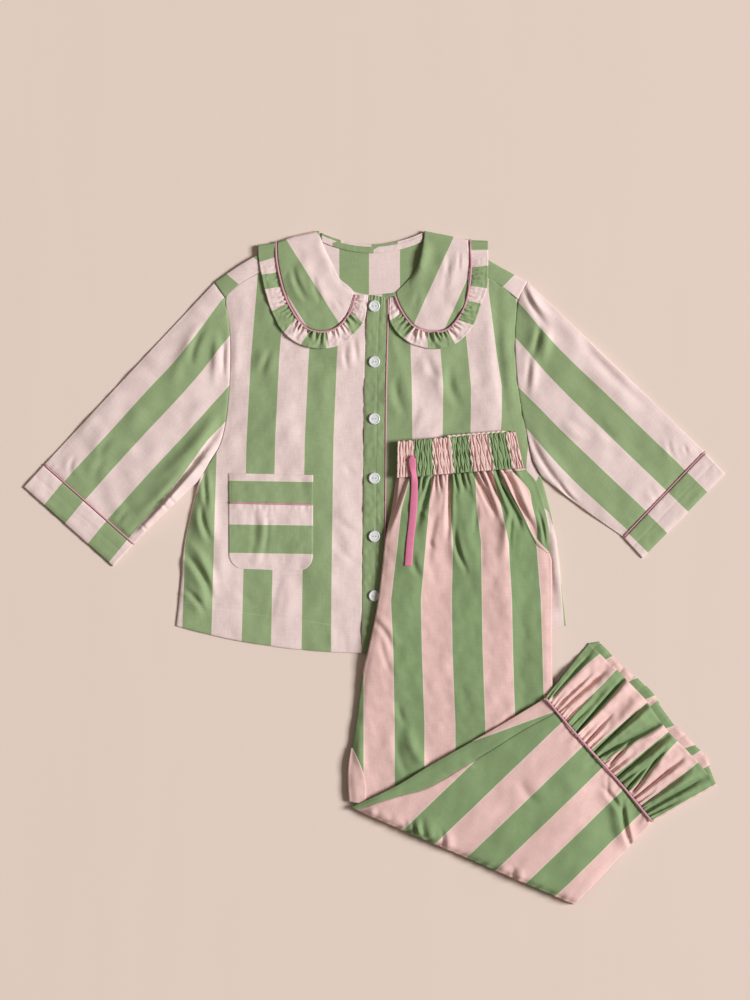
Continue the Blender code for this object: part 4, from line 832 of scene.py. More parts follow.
def plain_cotton(name, colour, pale, scale):
    """One-colour cotton for piping and tape: a fine twill and a little paler tone here and there."""
    n = Nodes(name)
    coords = n.add("ShaderNodeTexCoord")
    position = coords.outputs["Object"]
    fade = n.noise(position, 90.0, 3.0)
    tint = n.mix(n.math("MULTIPLY", fade, 0.7), colour, pale)
    n.link(tint, n.shader.inputs["Base Color"])
    n.link(n.bump(n.noise(position, scale, 2.0), 0.3, 0.0004), n.shader.inputs["Normal"])
    n.shader.inputs["Roughness"].default_value = 0.7
    n.shader.inputs["Sheen Weight"].default_value = 0.1
    n.shader.inputs["Specular IOR Level"].default_value = 0.3
    return n.made


def resin():
    """Polished white resin with a faint pearly cloudiness."""
    n = Nodes("button_resin")
    coords = n.add("ShaderNodeTexCoord")
    cloud = n.noise(coords.outputs["Object"], 160.0, 2.0)
    n.link(n.mix(cloud, WHITE, WHITE_CLOUD), n.shader.inputs["Base Color"])
    n.shader.inputs["Roughness"].default_value = 0.28
    return n.made


def floor_paint():
    """The pale floor, with a trace of unevenness."""
    n = Nodes("floor")
    coords = n.add("ShaderNodeTexCoord")
    grain = n.noise(coords.outputs["Object"], 3.0, 5.0, (4.0, 0.5, 1.0))
    darker = tuple(0.955 * c for c in FLOOR)
    n.link(n.mix(grain, darker, FLOOR), n.shader.inputs["Base Color"])
    n.shader.inputs["Roughness"].default_value = 0.8
    n.shader.inputs["Specular IOR Level"].default_value = 0.2
    return n.made


def make_materials():
    """All materials, by slot."""
    materials["shirt_cotton"] = striped_cotton("shirt_cotton", GREEN, PINK)
    materials["collar_cotton"] = striped_cotton("collar_cotton", GREEN, PINK)
    materials["trouser_cotton"] = striped_cotton("trouser_cotton", GREEN_TROUSERS, PINK_TROUSERS)
    materials["piping"] = plain_cotton("piping", PIPING, PIPING_PALE, 900.0)
    materials["drawstring_tape"] = plain_cotton("drawstring_tape", ROSE, ROSE_PALE, 1400.0)
    materials["stitches"] = plain_cotton("stitches", THREAD, THREAD_PALE, 2000.0)
    materials["button"] = resin()
    # Painted shade: the dark cotton for seam lines and button holes
    materials["seam_shadow"] = plain_cotton("seam_shadow", SHADOW, SHADOW_PALE, 2000.0)


# ---------------------------------------------------------------- the shirt
def stripes_at(x, y, marks, way):
    """Stripe of a panel whose stripes run down it; way is -1 where they count to the left."""
    ys = [s.y for s in marks]
    edge = np.interp(y, ys, [s.edge for s in marks])
    wide = np.interp(y, ys, [s.width for s in marks])
    return way * (x - edge) / wide


def square_stripes(x, y, square, boundaries, share=None, shares=SLEEVE_SHARES):
    """Stripe of a panel whose stripes run square to a direction, between measured boundaries."""
    c = square[0] * x + square[1] * y
    if share is None:
        lines = [np.full_like(c, b) for b in boundaries]
    else:
        lines = [np.mean([np.interp(share + d, shares, row) for d in (-0.06, -0.03, 0.0, 0.03, 0.06)], axis=0)
                 for row in boundaries]
    stripe = np.zeros_like(c)
    last = len(lines) - 1
    for k in range(last):
        part = (c - lines[k]) / (lines[k + 1] - lines[k])
        low = -20.0 if k == 0 else 0.0
        high = 20.0 if k == last - 1 else 1.0
        inside = (part >= low) & (part < high)
        stripe = np.where(inside, k + part, stripe)
    return stripe


def back_stripe(x, y):
    return np.maximum(1 + (x + 56.4) / 48.5, -3.99)


def shirt_back():
    """The back: its inside shows in the neck, and its shoulders come forward over the fold."""
    folds = SHOULDER_LEFT + tuple(Place(x, neck_y(x)) for x in (-50, CENTRE, 45)) + SHOULDER_RIGHT
    top = Curve(moved(folds, 0, -2.0))
    left = Curve(SIDE_LEFT[:1] + moved(SIDE_LEFT[1:-1], -SIDE_SHOW) + ARMHOLE_LEFT[:-1] + (SHOULDER_LEFT[0],))
    right = Curve(SIDE_RIGHT[:-1] + ARMHOLE_RIGHT[:-1] + (SHOULDER_RIGHT[-1],))
    plan = coons(hem(SIDE_LEFT[0].x, SIDE_RIGHT[0].x), top, left, right, steps(60), steps(60))
    x, y = plan[..., 0], plan[..., 1]
    z = 1.15 + under_collar(x, y) + crumple(x, y, 3, 60, 0.06)
    back = cloth("back", "shirt_cotton", grid_of(plan, z, back_stripe(x, y)), ["shirt_back"], thick=1.0)

    def left_stripe(x, y):
        return (0.645 * x + 0.765 * y - 207.4) / STRIPE

    def right_stripe(x, y):
        return (0.71 * x - 0.70 * y + 168.0) / STRIPE

    for name, shoulder, armhole, stripe in (("yoke_left", SHOULDER_LEFT, ARMHOLE_LEFT, left_stripe),
                                            ("yoke_right", SHOULDER_RIGHT, ARMHOLE_RIGHT, right_stripe)):
        fold = Curve(shoulder)
        ends = Curve([armhole[-2] if p == armhole[-1] else Place(p.x, p.y - YOKE_DEPTH) for p in shoulder])
        us = steps(60)
        a, b = fold(us), ends(us)
        lift = under_collar(a[:, 0], a[:, 1])
        radius = FOLD_HEIGHT / 2
        rows = []
        for angle in np.linspace(-math.pi / 2, math.pi / 2, 9):
            out = radius * math.cos(angle) - radius
            rows.append((a + (0, out), lift + radius + radius * math.sin(angle)))
        for share in steps(12)[1:]:
            p = a + (b - a) * share
            sag = 0.5 * math.sin(math.pi * share)
            height = under_collar(p[:, 0], a[:, 1]) + FOLD_HEIGHT + 0.3 + sag
            rows.append((p - (0, radius * (1 - share)), height))
        rows.insert(0, (a - (0, 18.0), lift + 0.2))
        plan = np.array([p for p, z in rows])
        z = np.array([z for p, z in rows]) + crumple(plan[..., 0], plan[..., 1], 5, 34, 0.12)
        grid = grid_of(plan, z, stripe(plan[..., 0], plan[..., 1]))
        grid = skirts(grid, ("last", 0.9), ("left", 2.2, 0.2), ("right", 2.2, 0.2))
        yoke = cloth(name, "shirt_cotton", grid)


def front_height(node):
    """The height of a front's cloth, for it and for what is sewn on it."""
    form = Form(node)

    def height(x, y):
        z = form(x, y) + creases(x, y, FRONT_CREASES)
        return z + crumple(x, y, 11, 42, 0.28) + crumple(x, y, 12, 110, 0.5) + crumple(x, y, 13, 16, 0.07)

    return height


def fronts():
    """Both fronts, with the hem's turning and its stitches."""
    seam_left = [ARMHOLE_LEFT[-2]] + [Place(p.x, p.y - YOKE_DEPTH) for p in SHOULDER_LEFT[1:]]
    seam_right = [Place(p.x, p.y - YOKE_DEPTH) for p in SHOULDER_RIGHT[:-1]] + [ARMHOLE_RIGHT[-2]]
    sides = (Curve(SIDE_LEFT[:-1] + ARMHOLE_LEFT[:-2] + (seam_left[0],)),
             Curve(SIDE_RIGHT[:-1] + ARMHOLE_RIGHT[:-2] + (seam_right[-1],)))
    jobs = (("front_left", "shirt_front_left", sides[0], Curve(moved(PLACKET_LEFT, 1.0)),
             seam_left + list(NECK_LEFT), (SIDE_LEFT[0].x, -19.5), -1),
            ("front_right", "shirt_front_right", Curve(UNDERLAP), sides[1],
             list(NECK_RIGHT) + seam_right, (-15.0, SIDE_RIGHT[0].x), 1))
    for name, node, left, right, top, ends, way in jobs:
        plan = coons(hem(*ends), Curve(top), left, right, steps(90), steps(205))
        x, y = plan[..., 0], plan[..., 1]
        runs = edge_runs(plan)
        side = runs[0] if way < 0 else runs[1]
        z = front_height(node)(x, y)
        z -= 1.2 * bell(side, 7.0)
        z -= 0.7 * bell(runs[2] - HEM_LINE, 2.2)
        top_gathers = gathers(x / 320.0, runs[3] / 300.0, 12, 21, 0.5, 0.18, 0.09)
        z += 0.45 * bell(runs[2], 30.0) + top_gathers
        z = at_least(z, CLOTH_LOW)
        if way > 0:
            stripe = table_stripes(x, y, RIGHT_ROWS, RIGHT_BOUNDARIES) - 1
        else:
            stripe = stripes_at(x, y, LEFT_STRIPES, -1)
            strip = np.interp(y, SIDE_STRIP_ROWS, SIDE_STRIP)
            stripe = np.where(side < strip, 6.0 + (strip - side) / STRIPE, stripe)
        grid = grid_of(plan, z, stripe)
        grid = skirts(grid, ("left" if way < 0 else "right", 2.0), ("first", 1.6))
        front = cloth(name, "shirt_cotton", grid, [node])
        row = int(np.argmin(np.abs(runs[2][:, 40] - HEM_LINE)))
        line = grid[1:][row + 2, 4:-4, :3] + (0, 0, 0.15)
        stitches(name + "_hem_stitches", [line])


def sleeves():
    """The flattened sleeves and the turned cuffs."""
    jobs = (("left", -1, ARMHOLE_LEFT, SLEEVE_TOP_LEFT, SLEEVE_LOW_LEFT, CUFF_LEFT, SLEEVE_LEFT_CREASES,
             (SLEEVE_LEFT_SQUARE, SLEEVE_LEFT_BOUNDARIES), (CUFF_LEFT_SQUARE, CUFF_LEFT_BOUNDARIES)),
            ("right", 1, ARMHOLE_RIGHT, SLEEVE_TOP_RIGHT, SLEEVE_LOW_RIGHT, CUFF_RIGHT, SLEEVE_RIGHT_CREASES,
             (SLEEVE_RIGHT_SQUARE, SLEEVE_RIGHT_BOUNDARIES), (SLEEVE_RIGHT_SQUARE, CUFF_RIGHT_BOUNDARIES)))
    for name, side, armhole, top, low, edge, folds, stripes, cuff_stripes in jobs:
        head = Curve(moved(armhole, side * 0.7)[::-1])
        wrist = Curve((top[-1], low[-1]))
        across, down = across_shares(76), steps(112)
        grid_plan = coons(head, wrist, Curve(top), Curve((Place(*head(1.0)),) + low[1:]), across, down)
        x, y = grid_plan[..., 0], grid_plan[..., 1]
        runs = edge_runs(grid_plan)
        high = Form("sleeve_" + name)(x, y) + creases(x, y, folds) + crumple(x, y, 31 + side, 40, 0.3)
        high += crumple(x, y, 41 + side, 120, 0.5)
        wide = np.broadcast_to(across[None], x.shape)
        high += gathers(wide, runs[3] / 30.0, 15, 51 + side, 0.9, 0.22, 0.8)
        high += gathers(wide, runs[2] / 40.0, 12, 61 + side, 0.6, 0.2, 0.7)
        high -= 0.8 * bell(runs[2], 3.0) + 1.0 * bell(np.minimum(runs[0], runs[1]), 6.0)
        high = at_least(high, 1.9)
        wrist_side = bell(runs[3], 5.0)
        high = high * (1 - wrist_side) + 3.0 * wrist_side
        share = np.broadcast_to(down[:, None], x.shape)
        stripe = square_stripes(x, y, *stripes, share=share)
        along = (stripes[0][0] * y - stripes[0][1] * x) / STRIPE
        grid = tube_grid(grid_plan, np.full_like(x, TUBE_LOW), high, stripe, along)
        item = cloth("sleeve_cloth_" + name, "shirt_cotton", grid, ["sleeve_" + name], wrap=True)

        way = np.array(edge[0], float) - np.array(top[-1], float)
        way /= np.linalg.norm(way)
        start = Curve([Place(*(np.array(p) + way * 2.2)) for p in (top[-1], low[-1])])
        plan = coons(start, Curve(edge), Curve((start(0.0), edge[0])), Curve((start(1.0), edge[1])),
                     across_shares(64), steps(20))
        x, y = plan[..., 0], plan[..., 1]
        runs = edge_runs(plan)
        high = 4.4 + crumple(x, y, 71 + side, 26, 0.16) - 0.7 * bell(runs[2] - 20.0, 1.1)
        high -= 0.5 * bell(runs[2], 3.0) + 1.5 * bell(runs[3], 4.0)
        stripe = square_stripes(x, y, *cuff_stripes)
        along = (stripes[0][0] * y - stripes[0][1] * x) / STRIPE
        grid = tube_grid(plan, np.full_like(x, TUBE_LOW), high, stripe, along)
        item = cloth("cuff_cloth_" + name, "shirt_cotton", grid, ["cuff_" + name], wrap=True, thick=0.9)
        shares = steps(40)
        line = np.vstack([wrist(shares), wrist(shares[-2:0:-1])])
        height = np.concatenate([np.full(41, 4.0), np.full(39, 1.5)])
        height[[0, 40]] = 2.6
        cord_curve("cuff_cord_" + name, "piping", np.column_stack([line, height]), 1.3,
                   ["cuff_piping_" + name], closed=True)


def placket():
    """The button band, a dark line of painted shade along its centre seam, and the piping in its edge."""
    left, right = Curve(moved(PLACKET_LEFT, SEAM)), Curve(moved(PLACKET_RIGHT, -SEAM))
    plan = coons(hem(left(0.0)[0], right(0.0)[0]), Curve((left(1.0), right(1.0))), left, right,
                 steps(24), steps(220))
    x, y = plan[..., 0], plan[..., 1]
    runs = edge_runs(plan)
    form = Form("placket", 4.0)
    z = form(x, y) + crumple(x, y, 81, 18, 0.16) + crumple(x, y, 82, 50, 0.2)
    share = np.broadcast_to(steps(24)[None], x.shape)
    z += gathers(share, runs[3] / 60.0, 6, 83, 1.1, 0.25, 0.8)
    z -= 0.5 * bell((share - 0.62) * 35, 1.4)
    z -= 0.35 * bell(runs[0], 1.6)
    wrinkles = np.sin(y / 3.1 + 1.3 * np.sin(y / 17.0)) * np.clip((share - 0.62) / 0.38, 0, 1)
    z += 0.22 * wrinkles * (0.5 + 0.5 * np.sin(y / 41.0))
    for node in ("shirt_front_left", "shirt_front_right"):
        z = np.maximum(z, at_least(front_height(node)(x, y), CLOTH_LOW) + 0.9)
    z -= 0.5 * bell(runs[0], 3.0)
    grid = grid_of(plan, z, 1.0 + 0.6 * share)
    grid = skirts(grid, ("left", 1.4, 0.3), ("right", 1.2, 0.3), ("first", 1.6))
    cloth("button_band", "shirt_cotton", grid, ["placket"])
    path = Curve(moved(PLACKET_RIGHT, 1.5))(0.004 + 0.992 * steps(90))
    row = np.clip((path[:, 1] - y[0, -1]) / (y[-1, -1] - y[0, -1]) * 220, 0, 220).astype(int)
    height = z[row, -1] - 0.1
    cord_curve("placket_cord", "piping", np.column_stack([path, height]), 1.35, ["placket_piping"])
    # Painted shade: a dark line along the groove of the centre seam
    seam = plan[4:-4, 15]
    height = z[4:-4, 15] + 0.1
    stitches("placket_seam_shade", [np.column_stack([seam, height])], "seam_shadow")


def pocket():
    """The patch pocket, with a turned band, piping under it and round lower corners."""
    left, right = np.array(POCKET[0]), np.array(POCKET[1])
    half = (right[0] - left[0]) / 2
    corner_depths = POCKET_DROP - 28 * (1 - np.sin(steps(14)[1:] * np.pi / 2))
    depths = np.concatenate([np.linspace(0, 125, 46), corner_depths])
    us = 2 * steps(56) - 1
    past = np.maximum(0.0, depths - (POCKET_DROP - POCKET_CORNER))
    tuck = POCKET_CORNER - np.sqrt(np.maximum(0.0, POCKET_CORNER ** 2 - past ** 2))
    x = (left[0] + right[0]) / 2 + us[None] * (half - 0.5 * (depths / POCKET_DROP)[:, None] - tuck[:, None])
    y = left[1] + (right[1] - left[1]) * (us[None] + 1) / 2 - depths[:, None]
    plan = np.stack([x, y], axis=-1)
    runs = edge_runs(plan)
    under = at_least(front_height("shirt_front_left")(x, y), CLOTH_LOW)
    z = under + 1.4 + crumple(x, y, 91, 20, 0.12)
    z += creases(x, y, POCKET_CREASES)
    below_band = np.maximum(0.0, depths - POCKET_BAND)[:, None]
    across = np.broadcast_to((us[None] + 1) / 2, x.shape)
    puckers = gathers(across, below_band / 24.0 + 0 * x, 14, 92, 0.9, 0.2, 0.8)
    z += np.where(below_band > 0, puckers, 0.0)
    z += np.where(below_band > 0, -0.5, 0.1)
    z -= 0.35 * bell(np.minimum(runs[0], runs[1]) - 2.4, 0.8)
    z -= 0.5 * bell(runs[0], 3.0)
    z = np.maximum(z, under + 0.8)
    bounds = (-4.0, 23.4, 69.8, 101.5, 103.4, 139.4, 152.0)
    values = (4.55, 4.0, 3.0, 2.05, 1.9, 1.0, 0.75)
    grid = grid_of(plan, z, np.interp(y + 0.016 * (x - left[0]), bounds, values), x / STRIPE)
    grid = skirts(grid, *((side, 1.3, 0.3) for side in ("left", "right", "first", "last")))
    cloth("patch_pocket", "shirt_cotton", grid, ["chest_pocket"])
    row = int(np.argmin(np.abs(depths - POCKET_BAND)))
    line = plan[row, 1:-1]
    cord_curve("pocket_cord", "piping", np.column_stack([line, z[row, 1:-1] + 0.7]), 1.5)
    border = np.vstack([plan[1:-1, 1], plan[-2, 1:-1], plan[1:-1, -2][::-1]])
    height = np.concatenate([z[1:-1, 1], z[-2, 1:-1], z[1:-1, -2][::-1]]) + 0.12
    stitches("pocket_stitches", [np.column_stack([border, height])])


def buttons():
    """Two-hole buttons with a raised rim, and a dark dot of painted shade over each hole."""
    for k in range(6):
        node = f"button_{k + 1}"
        low, high = (np.array(c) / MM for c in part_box(node))
        centre = (low + high) / 2
        radius = (high[0] - low[0]) / 2
        flat = bpy.data.curves.new(node + "_face", "CURVE")
        flat.dimensions = "2D"
        flat.fill_mode = "BOTH"
        flat.extrude = 0.55 * MM
        flat.bevel_depth = 0.45 * MM
        flat.bevel_resolution = 3
        holes = ((-HOLE_APART, HOLE_RADIUS), (HOLE_APART, HOLE_RADIUS))
        for cx, r in ((0.0, radius - 0.45),) + holes:
            spline = flat.splines.new("POLY")
            angles = np.linspace(0, 2 * math.pi, 32 if r > 2 else 14, endpoint=False)
            spline.points.add(len(angles) - 1)
            for point, angle in zip(spline.points, angles):
                point.co = ((cx + r * math.cos(angle)) * MM, r * math.sin(angle) * MM, 0, 1)
            spline.use_cyclic_u = True
        face = linked(node + "_disc", flat)
        face.location = (centre[0] * MM, centre[1] * MM, (low[2] + 1.1) * MM)
        dress(face, "button", [node])
        rim = radius - 1.5
        ring = [(centre[0] + rim * math.cos(a), centre[1] + rim * math.sin(a), low[2] + 1.9)
                for a in np.linspace(0, 2 * math.pi, 36, endpoint=False)]
        cord_curve(node + "_rim", "button", ring, 1.0, closed=True)
        # Painted shade: a small dark dot over each hole
        hole_shade = [[(centre[0] + dx + end, centre[1], low[2] + 1.85) for end in (-0.5, 0.5)]
                  for dx in (-2.3, 2.3)]
        stitches(node + "_thread", hole_shade, "seam_shadow", pitch=0.4, long=2.1, wide=2.1)
        hole = [[(centre[0], centre[1] + sign * (radius - 1), low[2] + 0.35),
                 (centre[0], centre[1] + sign * (radius + reach), low[2] + 0.2)]
                for sign, reach in ((1, 5.5), (-1, 2.5))]
        stitches(node + "_buttonhole", [np.linspace(a, b, 8) for a, b in hole], pitch=1.2, long=0.6, wide=2.0)


def collar():
    """The flat collar in one ring, its piping and its gathered ruffle."""
    top = COLLAR_LIFT + FOLD_HEIGHT + 2.1
    form, ruffle_form = Form("collar", 5.0), Form("collar_ruffle", 8.0)
    under = (front_height("shirt_front_left"), front_height("shirt_front_right"))

    def half_ellipse(rx, ry, shares):
        angle = math.pi * (1 + shares)
        return np.stack([CENTRE + rx * np.cos(angle), COLLAR_CENTRE + ry * np.sin(angle)], axis=-1)

    def over_fold(line, radius):
        """Rows that carry one line of points over the shoulder, from the front to the back."""
        rows = []
        for angle in np.linspace(math.pi / 2, -math.pi / 2, 13):
            y = fold_y(line[:, 0], COLLAR_FOLD) + 1.6 - radius + radius * math.cos(angle)
            height = np.full(len(line), radius + radius * math.sin(angle))
            rows.append(np.column_stack([line[:, 0], y, height]))
        return rows

    def ring(name, node, inner, outer, hidden, count, across, height, stripes, hidden_z, grain=None):
        """One closed run: left front, over the shoulder, behind, over the shoulder, right front.

        grain gives, for each side, the shares of the outer edge that belong to shares of the seam.
        """
        shares = 0.97 * steps(count)
        points = []
        for k in range(2):
            a, b = Curve(inner[k]), Curve(outer[k])
            out = b(shares if grain is None else np.interp(shares, *grain[k]))
            plan = span(a(shares), out, across)
            z = height(plan, shares, k)
            fold = over_fold(a(1.0) * (1 - across)[:, None] + b(1.0) * across[:, None], top / 2)
            blend = np.clip((shares - 0.80) / 0.17, 0, 1)[:, None] ** 2
            z = z * (1 - blend) + top * blend
            rows = np.concatenate([np.concatenate([plan, z[..., None]], axis=2), np.array(fold)], axis=0)
            long = np.concatenate([shares, np.linspace(0.985, 1.04, len(fold))])
            stripe = stripes(rows, long, across, k)
            along = np.broadcast_to(long[:, None, None] * 6, rows[..., :1].shape)
            points.append(np.concatenate([rows, stripe[..., None], along], axis=2))
        behind_in, behind_out = hidden
        s = 0.06 + 0.88 * steps(48)
        a, b = half_ellipse(*behind_in, s), half_ellipse(*behind_out, s)
        plan = span(a, b, across)
        z = 0.8 + hidden_z(s, across)
        back_stripes = 1 + (plan[..., 0] + 60) / STRIPE
        behind = grid_of(plan, z, back_stripes)
        grid = np.concatenate([points[0], behind, points[1][::-1]], axis=0)
        return cloth(name, "collar_cotton", grid, [node])

    def collar_height(plan, shares, k):
        x, y = plan[..., 0], plan[..., 1]
        runs = edge_runs(plan)
        z = form(x, y) + creases(x, y, COLLAR_CREASES) + crumple(x, y, 101 + k, 40, 0.28)
        long = shares[:, None]
        roll = np.clip((long - 0.25) / 0.3, 0, 1) * np.clip((1.0 - long) / 0.25, 0, 1)
        z += (2.5, 9.0)[k] * roll * bell(runs[0], 15.0)
        z = np.maximum(z, at_least(under[k](x, y), CLOTH_LOW) + 1.6)
        return z - 0.7 * bell(runs[1], 3.0) - 0.8 * bell(runs[0], 2.5)

    def collar_stripes(rows, long, across, k):
        x, y = rows[..., 0], rows[..., 1]
        if k == 0:
            return 1 + (0.845 * x + 0.535 * y - 115.0) / STRIPE
        return (0.909 * x - 0.416 * y + 104.0) / STRIPE

    def ruffle_height(plan, shares, k):
        x, y = plan[..., 0], plan[..., 1]
        along = np.broadcast_to(shares[:, None], x.shape)
        out = np.broadcast_to(steps(16)[None], x.shape)
        full = 0.30 + 0.95 * bell(along - 0.36, 0.24)
        full *= 0.80 + 0.38 * np.sin(along * 41 + 2 * np.sin(along * 13 + k))
        z = ruffle_form(x, y) + 0.8 + full * gathers(along, out, 34, 111 + k, 6.5, 0.17, 0.95, 0.5)
        z += 1.1 * full * out * np.sin(2 * np.pi * (along * 13 + 0.3 * np.sin(along * 21)))
        z -= 1.2 * bell(out, 0.08)
        z = np.maximum(z, at_least(under[k](x, y), CLOTH_LOW) + 0.9)
        return z - 0.5 * bell(out - 0.83, 0.05) + crumple(x, y, 115, 12, 0.15)

    def ruffle_stripes(rows, long, across, k):
        seam = ruffle_grain[k][0]
        return np.interp(long, seam, np.arange(len(seam)))[:, None] * np.ones((1, len(across)))

    ruffle_grain = ((RUFFLE_LEFT_SEAM, RUFFLE_LEFT_EDGE), (RUFFLE_RIGHT_SEAM, RUFFLE_RIGHT_EDGE))

    def flat_behind(s, across):
        return np.zeros((len(s), len(across)))

    def waves_behind(s, across):
        return 0.4 * (1 + np.sin(2 * np.pi * s * 9))[:, None] * across[None]

    item = ring("collar_cloth", "collar", (COLLAR_IN_LEFT, COLLAR_IN_RIGHT),
                (COLLAR_OUT_LEFT, COLLAR_OUT_RIGHT), ((NECK_HALF, 5.0), (COLLAR_HALF, COLLAR_BACK)),
                90, steps(34), collar_height, collar_stripes, flat_behind)
    slot = 2 * PIPING_SEAM

    def seam_places(collar_edge, ruffle_edge):
        a, b = Curve(collar_edge), Curve(ruffle_edge)
        s = steps(24)
        p, q = a(s), b(s)
        way = (q - p) / np.linalg.norm(q - p, axis=1)[:, None]
        return [Place(*v) for v in p + way * slot * 0.55]

    inner = (seam_places(COLLAR_OUT_LEFT, RUFFLE_OUT_LEFT),
             seam_places(COLLAR_OUT_RIGHT, RUFFLE_OUT_RIGHT))
    behind = [(COLLAR_HALF + out, COLLAR_BACK + out) for out in (slot, RUFFLE_WIDTH)]
    item = ring("ruffle_cloth", "collar_ruffle", inner, (RUFFLE_OUT_LEFT, RUFFLE_OUT_RIGHT), behind,
                460, steps(16), ruffle_height, ruffle_stripes, waves_behind, ruffle_grain)
    runs = []
    for side in inner:
        line = Curve(side)(0.975 * steps(110))
        z = even(form(line[:, 0], line[:, 1]) + 1.4, 5)
        blend = np.clip((steps(110) - 0.8) / 0.2, 0, 1) ** 2
        z = z * (1 - blend) + (top + 0.2) * blend
        x = line[-1, 0]
        turn_y, half = fold_y(x, COLLAR_FOLD) - 3.0, top / 2
        over = [(x, turn_y + 4.9 * math.cos(a), half + 0.1 + (half - 1.65) * math.sin(a))
                for a in np.linspace(1.3, -1.57, 9)]
        runs.append(np.vstack([np.column_stack([line, z]), over]))
    s = 0.08 + 0.84 * steps(50)
    hidden = half_ellipse(COLLAR_HALF + 2.6, COLLAR_BACK + 2.6, s)
    hidden = np.column_stack([hidden, np.full(len(hidden), 1.75)])
    cord_curve("collar_cord", "piping", np.vstack([runs[0], hidden, runs[1][::-1]]), 1.7, ["collar_piping"])


def neck():
    """The binding inside the back neck, and the collar's seam edge that shows above it."""
    xs = np.linspace(-85, 77, 66)
    form = Form("neck_binding", 3.0)
    for name, low, high, drop, marks, nodes in (
            ("neck_band", 12.0, 2.4, 0.0, ((-90, -67.6, -0.4, 80), (0.5, 1.0, 2.0, 2.9)), ["neck_binding"]),
            ("neck_seam_edge", 2.2, -1.6, 0.5, ((-88, -53, -5, 38, 75), (1.2, 2.0, 3.0, 4.0, 4.9)), [])):
        shares = steps(6)
        y = neck_y(xs)[None] - low + (low - high) * shares[:, None]
        x = np.broadcast_to(xs[None], y.shape)
        plan = np.stack([x, y], axis=-1)
        lean = np.clip((shares - 0.5) * 2, 0, 1)[:, None] * (0.12 if nodes else 0.0)
        z = form(x, np.minimum(y, neck_y(x) - 4.0)) - drop + 0.2 + crumple(x, y, 121, 15, 0.1)
        grid = grid_of(plan, z, np.interp(x - lean * 60, *marks), x / STRIPE)
        item = cloth(name, "collar_cotton", skirts(grid, ("first", 0.8, 0.3), ("last", 1.2, 0.3)), nodes)


# ---------------------------------------------------------------- the trousers
def table_stripes(x, y, rows, boundaries):
    """Stripe between boundaries that are given at several heights."""
    lines = [np.interp(y, rows, column) for column in boundaries]
    stripe = np.full_like(x, -0.5)
    for k in range(len(lines) - 1):
        part = (x - lines[k]) / np.maximum(lines[k + 1] - lines[k], 1.0)
        low = -9.0 if k == 0 else 0.0
        edge = lines[k] - (1e9 if k == 0 else 0)
        stripe = np.where((part >= low) & (x >= edge), k + part, stripe)
    return stripe


def stack(name, node, edges, count, shares, stripe):
    """The hidden layers: flattened tubes on each other, their folded edges uneven."""
    low, high = Form(node, 5.0, below=True), Form(node, 5.0)
    rng = np.random.default_rng(7)
    grids = []
    for k in range(count):
        near, far = rng.uniform(2.0, 7.0, 2)
        a, b = edges[0](shares), edges[1](shares)
        way = (b - a) / np.linalg.norm(b - a, axis=1)[:, None]
        wobble = 1.3 * np.sin(shares * (9 + 3 * k) + k * 2.0)[:, None]
        a, b = a + way * (near + wobble), b - way * (far - wobble)
        across = across_shares(20)
        plan = span(a, b, across)
        x, y = plan[..., 0], plan[..., 1]
        base, tall = low(x, y), np.maximum(high(x, y) - low(x, y), 3.0)
        bottom, top = base + tall * k / count + 0.1, base + tall * (k + 1) / count - 0.1
        grids.append(tube_grid(plan, bottom, top, stripe(x, y)))
    return cloth(name, "trouser_cotton", grids, [node], wrap=True, thick=0.5)


def leg_stripe(x, y):
    return table_stripes(x, y, LEG_ROWS, LEG_BOUNDARIES)


def leg_height(x, y):
    """The height of the top leg's cloth, for it and for what lies on it."""
    if "leg" not in forms:
        forms["leg"] = Form("trousers_leg", 7.0)
    left = x - line_x(y, LEG_LEFT)
    right = line_x(y, LEG_RIGHT) - x
    along = left / np.maximum(left + right, 1.0)
    below = fold_y(x, WAIST_SEAM) - y
    z = forms["leg"](x, y) + creases(x, y, LEG_CREASES, 0.6) + tucks(x, y, LEG_TUCKS)
    z += crumple(x, y, 131, 44, 0.3) + crumple(x, y, 132, 120, 0.5) + crumple(x, y, 134, 16, 0.07)
    beside = np.clip((line_x(y, LEG_RIDGE) - x) / 7.0, 0, 1)
    z -= LEG_DROP * beside * np.clip((y - LEG_RIDGE[-1].y) / 50.0, 0, 1)
    z += gathers(along, np.maximum(below, 0.0) / 60.0, 38, 133, 1.5, 0.26, 0.30, 0.5)
    z -= 1.6 * bell(below, 3.0)
    z = z - 2.2 * bell(np.maximum(left, 0), 6.0)
    return z - 2.0 * bell(np.maximum(right, 0), 6.0)


def trousers_top():
    """The top leg, gathered under the waistband, with its slant pocket."""
    leg_left, leg_right = Curve(LEG_LEFT), Curve(LEG_RIGHT)
    edges = (Curve((WAIST[0],) + LEG_LEFT), Curve((WAIST[1],) + LEG_RIGHT))
    item = stack("leg_layers", "trousers_layers", edges, 3, 0.01 + 0.95 * steps(40), leg_stripe)
    plan = coons(Curve((leg_left(1.0), leg_right(1.0))), Curve(moved(WAIST_SEAM, 0, -1.0)),
                 Curve(LEG_LEFT[::-1]), Curve(LEG_RIGHT[::-1]), steps(130), steps(190))
    x, y = plan[..., 0], plan[..., 1]
    grid = grid_of(plan, leg_height(x, y), leg_stripe(x, y))
    grid = skirts(grid, ("left", 4.5, 1.2), ("right", 4.5, 1.2))
    item = cloth("leg_cloth", "trouser_cotton", grid, ["trousers_leg"])
    slant_pocket()
    corner_panel()


def between(first, second, rows, columns):
    """Plan points between two lines that run the same way, and the share from one to the other."""
    s, across = steps(rows), steps(columns)
    a, b = first(s), second(s)
    plan = span(a, b, across)
    return plan, np.broadcast_to(s[:, None], plan.shape[:2]), np.broadcast_to(across[None], plan.shape[:2])


